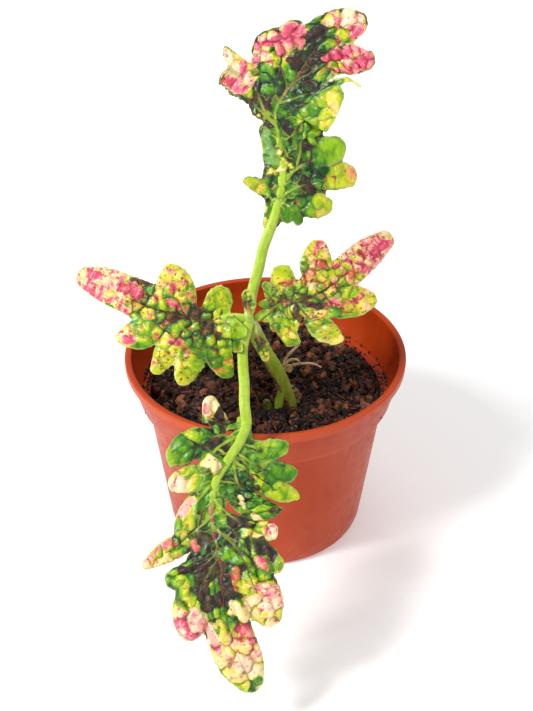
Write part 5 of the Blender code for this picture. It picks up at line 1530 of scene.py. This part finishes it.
def hair_shape():
    """One tapering hair, a millimetre long, that bends a little."""
    points, faces = [], ring_faces(3, 3)
    for height, radius, shift in ((-0.1, 0.055, 0), (0.4, 0.045, 0.03), (0.75, 0.03, 0.1)):
        for s in range(3):
            turn = 2 * math.pi * s / 3
            points.append((shift + radius * math.cos(turn), radius * math.sin(turn), height))
    points.append((0.2, 0, 1.0))
    faces += [(6 + s, 6 + (s + 1) % 3, 9) for s in range(3)]
    faces.append((2, 1, 0))
    return hidden(new_piece("hair_shape", points, faces))


def crumb_shape(name, seed, detail=2):
    """An angular crumb about a millimetre across."""
    bpy.ops.mesh.primitive_ico_sphere_add(subdivisions=detail, radius=0.5 * MM)
    crumb = bpy.context.object
    crumb.name = name
    places = vertex_places(crumb)
    grow = 1 + 0.4 * waves(places, 0.35, seed)
    places *= grow[:, None] * (1.0, 0.8, 1.0)
    crumb.data.vertices.foreach_set("co", (places * MM).ravel())
    return hidden(crumb)


def fibre_shape():
    """A thin bent splinter, five millimetres long, lying along X."""
    path = [(-2.5, 0, 0), (-1.2, 0.25, 0.3), (0.4, 0.1, 0.2), (1.5, -0.2, 0.35), (2.5, -0.1, 0)]
    path = smooth_path(path, 0.6)
    radii = np.interp(np.linspace(0, 1, 10), (0, 0.3, 1), (0.06, 0.16, 0.04))[:len(path)]
    points, faces, _, _ = swept(path, radii, 4)
    return hidden(new_piece("fibre_shape", points, faces))


def hidden(piece):
    """The helper kept out of the picture until it is removed."""
    piece.hide_render = True
    piece.hide_viewport = True
    return piece


# Pot, soil, stem and roots

def wall_radius(height, outside):
    """Radius of the pot's body below its step, on the outer or the inner face."""
    share = height / STEP_HEIGHT
    outer = BASE_RADIUS + (BODY_TOP_RADIUS - BASE_RADIUS) * share
    return outer if outside else outer - WALL


def arc(centre, radius, start, end, steps):
    """Profile points on an arc, from one angle in degrees to another."""
    turns = np.radians(np.linspace(start, end, steps))
    return [(centre[0] + radius * math.cos(t), centre[1] + radius * math.sin(t)) for t in turns]


def pot_profile(step, lip):
    """(radius, height) points from the middle of the floor up inside, over the lip and down outside."""
    inner_foot = COLLAR_FOOT_RADIUS - WALL
    inner_rim = RIM_RADIUS - RIM_WIDTH
    profile = [(0.0, FLOOR), (DRAIN_RING_RADIUS - 5, FLOOR), (BASE_RADIUS - WALL - 0.6, FLOOR)]
    profile += [(wall_radius(FLOOR + 0.8, False), FLOOR + 0.8)]
    profile += [(wall_radius(h, False), h) for h in np.linspace(8, step - 1, 8)]
    profile += [(inner_foot - 0.5, step - 0.2), (inner_foot - 0.25, step + 0.7)]
    profile += [(inner_foot + 0.22, step + 1.4)]
    profile += [(inner_rim - 0.35, lip - 2.5), (inner_rim, lip - 0.5)]
    profile += arc((inner_rim + 0.5, RIM_HEIGHT - 0.5), 0.5, 180, 90, 5)
    profile += arc((RIM_RADIUS - 0.6, RIM_HEIGHT - 0.6), 0.6, 90, 0, 6)
    profile += [(RIM_RADIUS - 0.05, lip + 1.0)]
    profile += arc((RIM_RADIUS - 0.45, lip + 0.35), 0.35, 0, -90, 5)
    profile += [(COLLAR_TOP_RADIUS + 0.25, lip - 0.05), (COLLAR_TOP_RADIUS, lip - 0.3)]
    profile += [(COLLAR_TOP_RADIUS - 0.15, lip - 1.2)]
    profile += [(COLLAR_TOP_RADIUS + (COLLAR_FOOT_RADIUS - COLLAR_TOP_RADIUS) * k / 6,
                 lip - 1.2 + (step + 0.7 - lip + 1.2) * k / 6) for k in range(1, 7)]
    profile += arc((COLLAR_FOOT_RADIUS - 0.5, step + 0.5), 0.5, 0, -90, 5)
    profile += [(BODY_TOP_RADIUS + 0.45, step - 0.02), (BODY_TOP_RADIUS + 0.08, step - 0.25)]
    profile += [(wall_radius(h, True), h) for h in np.linspace(step - 1.2, 3, 12)]
    profile += arc((BASE_RADIUS - 2.1, 2.1), 2.1, -5, -90, 7)
    profile += [(BASE_RADIUS - 3.5, 0.0), (BASE_RADIUS - 4.6, 0.35)]
    profile += [(DRAIN_RING_RADIUS - 5, 0.35), (0.0, 0.35)]
    return np.array(profile)


def drill_drains(pot):
    """Round holes in a ring through the pot's floor."""
    for k in range(DRAIN_HOLES):
        turn = 2 * math.pi * (k + 0.5) / DRAIN_HOLES
        place = (DRAIN_RING_RADIUS * math.cos(turn) * MM, DRAIN_RING_RADIUS * math.sin(turn) * MM, 0)
        bpy.ops.mesh.primitive_cylinder_add(
            vertices=40, radius=DRAIN_RADIUS * MM, depth=8 * MM, location=place
        )
        cutter = bpy.context.object
        bore = pot.modifiers.new("Bore", "BOOLEAN")
        bore.operation = "DIFFERENCE"
        bore.object = cutter
        bore.solver = "EXACT"
        plain_mesh(pot)
        bpy.data.objects.remove(cutter, do_unlink=True)


def build_pot(kind):
    """The turned shell with a rounded lip, a collar with a step, and drain holes in its floor."""
    step = STEP_HEIGHT
    lip = RIM_HEIGHT - LIP_DROP
    profile = pot_profile(step, lip)
    turns = np.linspace(0, 2 * math.pi, POT_STEPS, endpoint=False)
    out_of_round = 1 + 0.0012 * np.cos(2 * turns + 0.7) + 0.0006 * np.cos(5 * turns)
    points = []
    for radius, height in profile:
        points += [(radius * g * math.cos(t), radius * g * math.sin(t), height)
                   for t, g in zip(turns, out_of_round)]
    faces = ring_faces(len(profile), POT_STEPS)
    pot = outward(new_piece("pot_shell", points, faces, [kind]))
    drill_drains(pot)
    pot.data.materials.clear()
    pot.data.materials.append(kind)
    pot.data.shade_smooth()
    pot.data.set_sharp_from_angle(angle=math.radians(50))
    place = vertex_places(pot)
    radius, height = np.hypot(place[:, 0], place[:, 1]), place[:, 2]
    # Bands along the lip and the step's edge, which the pot's material makes lighter.
    lip_edge = np.exp(-(((height - RIM_HEIGHT + 1.2) / 1.6) ** 2)) * (radius > RIM_RADIUS - 1.6)
    step_edge = np.exp(-(((height - step - 0.4) / 0.8) ** 2)) * (radius > COLLAR_FOOT_RADIUS - 0.7)
    add_values(pot, "Edge", np.clip(lip_edge + 0.7 * step_edge, 0, 1))
    # Marks the inner wall, which the pot's material darkens as painted shade.
    inner = np.interp(height, (0, step, lip), (BASE_RADIUS, BODY_TOP_RADIUS, 43.0)) - 0.5
    add_values(pot, "Inside", (radius < inner) & (height > 1.2))
    turn = np.arctan2(place[:, 1], place[:, 0])
    upper_left = np.exp(-(((turn + 2.6) / 0.5) ** 2)) * np.clip((height - 40) / 15, 0, 1)
    foot = np.exp(-((height / 3.5) ** 2))
    add_values(pot, "Dust", np.clip(0.25 + 0.8 * upper_left + 0.6 * foot, 0, 1))
    return pot


def soil_relief(x, y):
    """Height of the soil's surface above its mean level, as in the solid."""
    rolls = np.sin(0.16 * x + 1.1) * np.cos(0.19 * y - 0.4)
    crumbs = np.sin(0.61 * x + 0.9 * np.sin(0.33 * y)) * np.sin(0.57 * y + 1.3 * np.cos(0.41 * x))
    from_clod = np.hypot(x - CLOD_PLACE[0], y - CLOD_PLACE[1])
    clod = np.exp(-((from_clod / CLOD_WIDTH) ** 2))
    return ROLL_HEIGHT * rolls + CRUMB_HEIGHT * crumbs + CLOD_HEIGHT * clod


def soil_height(x, y):
    """The solid's relief with lumps, pits and grains of the soil's own."""
    flat = np.stack([x, y], axis=1)
    lumps = 0.8 * waves(flat, 3.2, 31) + 0.5 * np.abs(waves(flat, 1.7, 32)) + 0.35 * waves(flat, 0.9, 33)
    pits = -2.2 * np.clip(waves(flat, 2.6, 34) - 0.4, 0, 1)
    from_foot = np.hypot((x - FOOT_MOUND[0]) / 2.0, y - FOOT_MOUND[1])
    mound = 3.2 * np.exp(-((from_foot / 3.4) ** 2))
    return SOIL_LEVEL + soil_relief(x, y) + lumps + pits + mound


def build_soil(kind):
    """The soil's surface, closed down the pot's wall to its floor."""
    top_radius = wall_radius(SOIL_LEVEL, False) - SOIL_GAP
    rings = int(top_radius / SOIL_SPACING)
    steps = int(2 * math.pi * top_radius / SOIL_SPACING)
    radii = np.linspace(0, top_radius, rings + 1)[1:]
    turns = np.linspace(0, 2 * math.pi, steps, endpoint=False)
    x = np.r_[0, (radii[:, None] * np.cos(turns)).ravel()]
    y = np.r_[0, (radii[:, None] * np.sin(turns)).ravel()]
    points = [np.stack([x, y, soil_height(x, y)], axis=1)]
    foot = FLOOR + 0.3
    for radius, height in (
        (wall_radius(SOIL_LEVEL - 3, False) - SOIL_GAP, SOIL_LEVEL - 3),
        (wall_radius(foot + 2, False) - SOIL_GAP, foot + 2), (BASE_RADIUS - WALL - 2, foot),
    ):
        ring = (radius * np.cos(turns), radius * np.sin(turns), np.full(steps, height))
        points.append(np.stack(ring, axis=1))
        rings += 1
    faces = [(0, 1 + s, 1 + (s + 1) % steps) for s in range(steps)]
    faces += [(a, d, c, b) for a, b, c, d in ring_faces(rings, steps, 1)]
    last = 1 + (rings - 1) * steps
    faces.append(tuple(last + s for s in range(steps))[::-1])
    return new_piece("soil_bed", np.concatenate(points), faces, [kind])


def joined(name, parts, kind):
    """Several (points, faces, values by name) as one mesh piece."""
    points, faces, values, start = [], [], {}, 0
    for part_points, part_faces, part_values in parts:
        points.append(part_points)
        faces += [tuple(v + start for v in face) for face in part_faces]
        start += len(part_points)
        for title, numbers in part_values.items():
            values.setdefault(title, []).append(numbers)
    piece = new_piece(name, np.concatenate(points), faces, [kind])
    for title, numbers in values.items():
        add_values(piece, title, np.concatenate(numbers))
    return piece


def shoot(points, radii, spacing, sides, dome_start=0, dome_end=0, outline=None, knots=0.0, seed=1):
    """A smooth tube through the points, uneven by the share knots, as (points, faces, share, turn)."""
    path = smooth_path(points, spacing)
    along = np.linspace(0, 1, len(path))
    grown = np.interp(along, np.linspace(0, 1, len(radii)), radii)
    grown = grown * (1 + knots * waves(path, 1.6, seed))
    return swept(path, grown, sides, outline, dome_start, dome_end)


def build_stem(kind):
    """The main stem, ringed at its node, with the side shoot and the lump of old root at its foot."""
    main, faces, _, _ = shoot(STEM_PATH, STEM_RADII, 0.5, 32, 3, 4, grooved, 0.02)
    height = main[:, 2]
    centre = np.array(smooth_path(STEM_PATH, 0.5))
    nearest = np.abs(centre[None, :, 2] - height[:, None]).argmin(axis=1)
    side = main[:, 0] - centre[nearest, 0]
    scar = np.exp(-(((height - 57.5) / 6.5) ** 2)) * np.clip(-side / 1.3, 0, 1)
    torn = np.exp(-(((height - 51.0) / 2.4) ** 2)) * np.clip(1 - np.abs(side + 0.4) / 1.4, 0, 1)
    low = np.clip((60 - height) / 10, 0, 1)
    high = np.clip((height - 80) / 6, 0, 1)
    parts = [(main, faces, {"Scar": np.clip(scar + torn, 0, 1), "Low": low, "High": high})]
    for path, radii, sides, outline, knots, seed, scar, low in (
        (SIDE_SHOOT_PATH, SIDE_SHOOT_RADII, 24, grooved, 0.04, 1, 0, 1.2),
        (ROOT_LUMP_PATH, ROOT_LUMP_RADII, 20, None, 0.12, 4, 1, 0),
    ):
        points, faces, share, _ = shoot(path, radii, 0.4, sides, 2, 3, outline, knots, seed)
        parts.append((points, faces, {"Scar": 0 * share + scar, "Low": 0 * share + low, "High": 0 * share}))
    return joined("stem_main", parts, kind)


def build_stub(kind):
    """The cut side shoot: a round olive stub with a dark centre."""
    points, faces, _, _ = shoot(STUB_PATH, STUB_RADII, 0.3, 24, 2, 6, None, 0.03)
    centre = np.array(STUB_PATH[-1]) + (0.1, -1.0, 0.9)
    cut = np.clip(1.6 - np.linalg.norm(points - centre, axis=1) / 0.45, 0, 1)
    return joined("stub_cut", [(points, faces, {"Cut": cut})], kind)


def build_roots(kind):
    """The pale rootlets and the knob that they spring from."""
    parts = []
    for k, path in enumerate(ROOT_PATHS):
        points, faces, _, _ = shoot(path, ROOT_RADII, 0.3, 10, 2, 3, None, 0.12, 60 + k)
        parts.append((points, faces, {}))
    knob = [np.array(ROOT_KNOB) + (0, 0, d) for d in (-0.5, -0.2, 0.2, 0.5)]
    points, faces, _, _ = shoot(knob, [0.9, 1.05, 1.05, 0.9], 0.25, 18, 5, 5, None, 0.05, 9)
    parts.append((points, faces, {}))
    return joined("roots_aerial", parts, kind)


# Everything in place

def on_part(piece, slot, *nodes):
    """The piece rides on the plant's one body and stands for these nodes; its slot is not used."""
    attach(piece, "root")
    if nodes:
        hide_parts(*nodes)
    return piece


def add_loose_soil(soil, clump, crumb, fibre):
    """Clumps, crumbs and fibres on the soil's surface, but not down its closed sides."""
    place = vertex_places(soil)
    on_top = place[:, 2] > SOIL_LEVEL - SOIL_TOP_DEPTH
    inside = np.hypot(place[:, 0], place[:, 1]) < SOIL_TOP_RADIUS
    add_values(soil, "Dense", on_top & inside)
    on_part(scattered("soil_clumps", soil, clump, crumb_material,
                      Density=1.3e5, Smallest=1.3, Largest=3.8, Lean=EVERY_WAY, Seed=4), "potting_soil")
    on_part(scattered("soil_crumbs", soil, crumb, crumb_material,
                      Density=8e5, Smallest=0.3, Largest=1.4, Lean=EVERY_WAY, Seed=6), "potting_soil")
    on_part(scattered("soil_fibres", soil, fibre, fibre_material,
                      Density=1.6e5, Smallest=0.3, Largest=1.0, Lean=FIBRE_LEAN, Seed=9), "potting_soil")


def add_pot_dirt(pot, crumb):
    """Specks on the collar, most on its left, and crumbs heaped on the ledge inside it."""
    place = vertex_places(pot)
    turn = np.arctan2(place[:, 1], place[:, 0])
    radius, height = np.hypot(place[:, 0], place[:, 1]), place[:, 2]
    to_left = np.exp(-(((turn + 2.7) / 0.45) ** 2)) + 0.14 * np.exp(-(((turn + 0.3) / 0.5) ** 2))
    on_collar = (height > STEP_HEIGHT) & (radius < RIM_RADIUS - 0.8)
    add_values(pot, "Dense", on_collar * to_left)
    on_part(scattered("pot_specks", pot, crumb, crumb_material,
                      Density=2.4e4, Smallest=0.2, Largest=0.8, Lean=EVERY_WAY, Seed=3), "potting_soil")
    on_ledge = (radius < BODY_TOP_RADIUS - WALL + 0.2) & (height > STEP_HEIGHT - 1.5)
    on_wall = np.abs(radius - COLLAR_FOOT_RADIUS + WALL + 0.35) < 0.35
    on_ledge |= on_wall & (height > STEP_HEIGHT - 0.5)
    heaped = np.clip(0.7 + 1.2 * waves(np.c_[RIM_RADIUS * turn, 0 * turn], 14, 5), 0.1, 1)
    add_values(pot, "Dense", on_ledge * heaped)
    on_part(scattered("ledge_crumbs", pot, crumb, crumb_material,
                      Density=1.3e6, Smallest=0.4, Largest=1.5, Lean=EVERY_WAY, Seed=7), "potting_soil")


leaf_material = leaf_skin("leaf_blade_plum", 0.15)
side_leaf_material = leaf_skin("leaf_blade_brown", 0.85)
young_material = leaf_skin("young_leaf_mosaic", 0.7)
stalk_material = stem_skin()
hair_material = hair_skin()
crumb_material = crumb_skin("soil_crumb", 0.62, (0.1, 5, 5, 6), (0.42, 17, 11, 9), (0.64, 42, 23, 15),
                            (0.82, 92, 49, 28), (0.97, 166, 98, 62))
fibre_material = crumb_skin("soil_fibre", 0.75, (0.1, 52, 26, 18), (0.5, 116, 56, 32), (0.9, 164, 92, 56))

pot = build_pot(pot_plastic())
soil = build_soil(soil_skin())
stem = build_stem(main_stem_skin())
stub = build_stub(shoot_skin())
roots = build_roots(root_skin())

LEAVES = (
    ("leaf_left", LEAF_LEFT, LOOK_LEFT, side_leaf_material, BLADE_SPACING),
    ("leaf_right", LEAF_RIGHT, LOOK_RIGHT, side_leaf_material, BLADE_SPACING),
    ("leaf_top", LEAF_TOP, LOOK_TOP, leaf_material, BLADE_SPACING),
    ("leaf_bottom", LEAF_BOTTOM, LOOK_BOTTOM, leaf_material, BLADE_SPACING),
    ("young_leaf_upper", YOUNG_LEAF_UPPER, LOOK_YOUNG, young_material, YOUNG_SPACING),
    ("young_leaf_lower", YOUNG_LEAF_LOWER, LOOK_YOUNG, young_material, YOUNG_SPACING),
)
stalks = []
for number, (name, plan, look, kind, spacing) in enumerate(LEAVES):
    blade = build_blade(name + "_blade", plan, look, kind, spacing, PATTERN_OFFSET * number)
    stalk = build_stalk(name + "_stalk", plan, look, stalk_material)
    on_part(blade, "young_leaf" if name.startswith("young") else "leaf_blade", name)
    on_part(stalk, "stem_skin")
    stalks.append(stalk)

hair = hair_shape()
clump = crumb_shape("clump_shape", 12)
crumb = crumb_shape("crumb_shape", 15, 1)
fibre = fibre_shape()
for piece in (stem, *stalks):
    add_values(piece, "Dense", np.ones(len(piece.data.vertices)))
    hairs = scattered(piece.name + "_hairs", piece, hair, hair_material,
                      Density=1.5e6, Smallest=0.4, Largest=1.1, Lean=HAIR_LEAN, Seed=len(piece.name))
    on_part(hairs, "stem_skin")

add_loose_soil(soil, clump, crumb, fibre)
add_pot_dirt(pot, crumb)
on_part(pot, "pot_plastic", "pot")
on_part(soil, "potting_soil", "soil")
on_part(stem, "stem_skin", "stem")
on_part(stub, "shoot_skin", "side_stub")
on_part(roots, "root_skin", "aerial_roots")
for helper in (hair, clump, crumb, fibre):
    bpy.data.objects.remove(helper, do_unlink=True)


def light(name, place, target, size, energy):
    """A soft square light that faces the target; places are in metres."""
    data = bpy.data.lights.new(name, "AREA")
    data.shape = "SQUARE"
    data.size = size
    data.energy = energy
    lamp = bpy.data.objects.new(name, data)
    bpy.context.scene.collection.objects.link(lamp)
    lamp.location = place
    lamp.rotation_euler = (Vector(target) - Vector(place)).to_track_quat("-Z", "Y").to_euler()


def build_stage():
    """A plain pale floor, soft lights and the camera at the photograph's angle."""
    shade = Shade("floor_paper", 0.9, 0.1)
    shade.shader.inputs["Base Color"].default_value = (FLOOR_GREY, FLOOR_GREY, FLOOR_GREY, 1)
    shade.shader.inputs["Emission Color"].default_value = (1, 1, 1, 1)
    shade.shader.inputs["Emission Strength"].default_value = FLOOR_GLOW
    corners = [(x * FLOOR_HALF_WIDTH, y * FLOOR_HALF_WIDTH, 0)
               for x, y in ((-1, -1), (1, -1), (1, 1), (-1, 1))]
    floor = new_piece("floor", corners, [(0, 1, 2, 3)], [shade.material])
    world = bpy.data.worlds.new("studio")
    bpy.context.scene.world = world
    world.use_nodes = True
    world.node_tree.nodes["Background"].inputs["Color"].default_value = (1, 1, 1, 1)
    world.node_tree.nodes["Background"].inputs["Strength"].default_value = WORLD_STRENGTH
    light("key", (-0.68, -0.5, 0.9), (0, -0.02, 0.08), 0.26, 11.8)
    light("fill", (0.7, -0.6, 0.5), (0, 0, 0.08), 0.8, 1.1)
    light("top", (0.1, 0.3, 1.0), (0, 0, 0.08), 0.6, 2.2)
    data = bpy.data.cameras.new("camera")
    data.lens = CAMERA_LENS
    data.clip_start = 0.01
    camera = bpy.data.objects.new("camera", data)
    bpy.context.scene.collection.objects.link(camera)
    tilt = math.radians(CAMERA_ELEVATION)
    back = Vector((0, -math.cos(tilt), math.sin(tilt)))
    camera.location = (Vector(CAMERA_TARGET) + back * CAMERA_DISTANCE) * MM
    camera.rotation_euler = (math.pi / 2 - tilt, 0, 0)
    bpy.context.scene.camera = camera
    bpy.context.scene.view_settings.view_transform = "Standard"


build_stage()

bpy.context.view_layer.update()
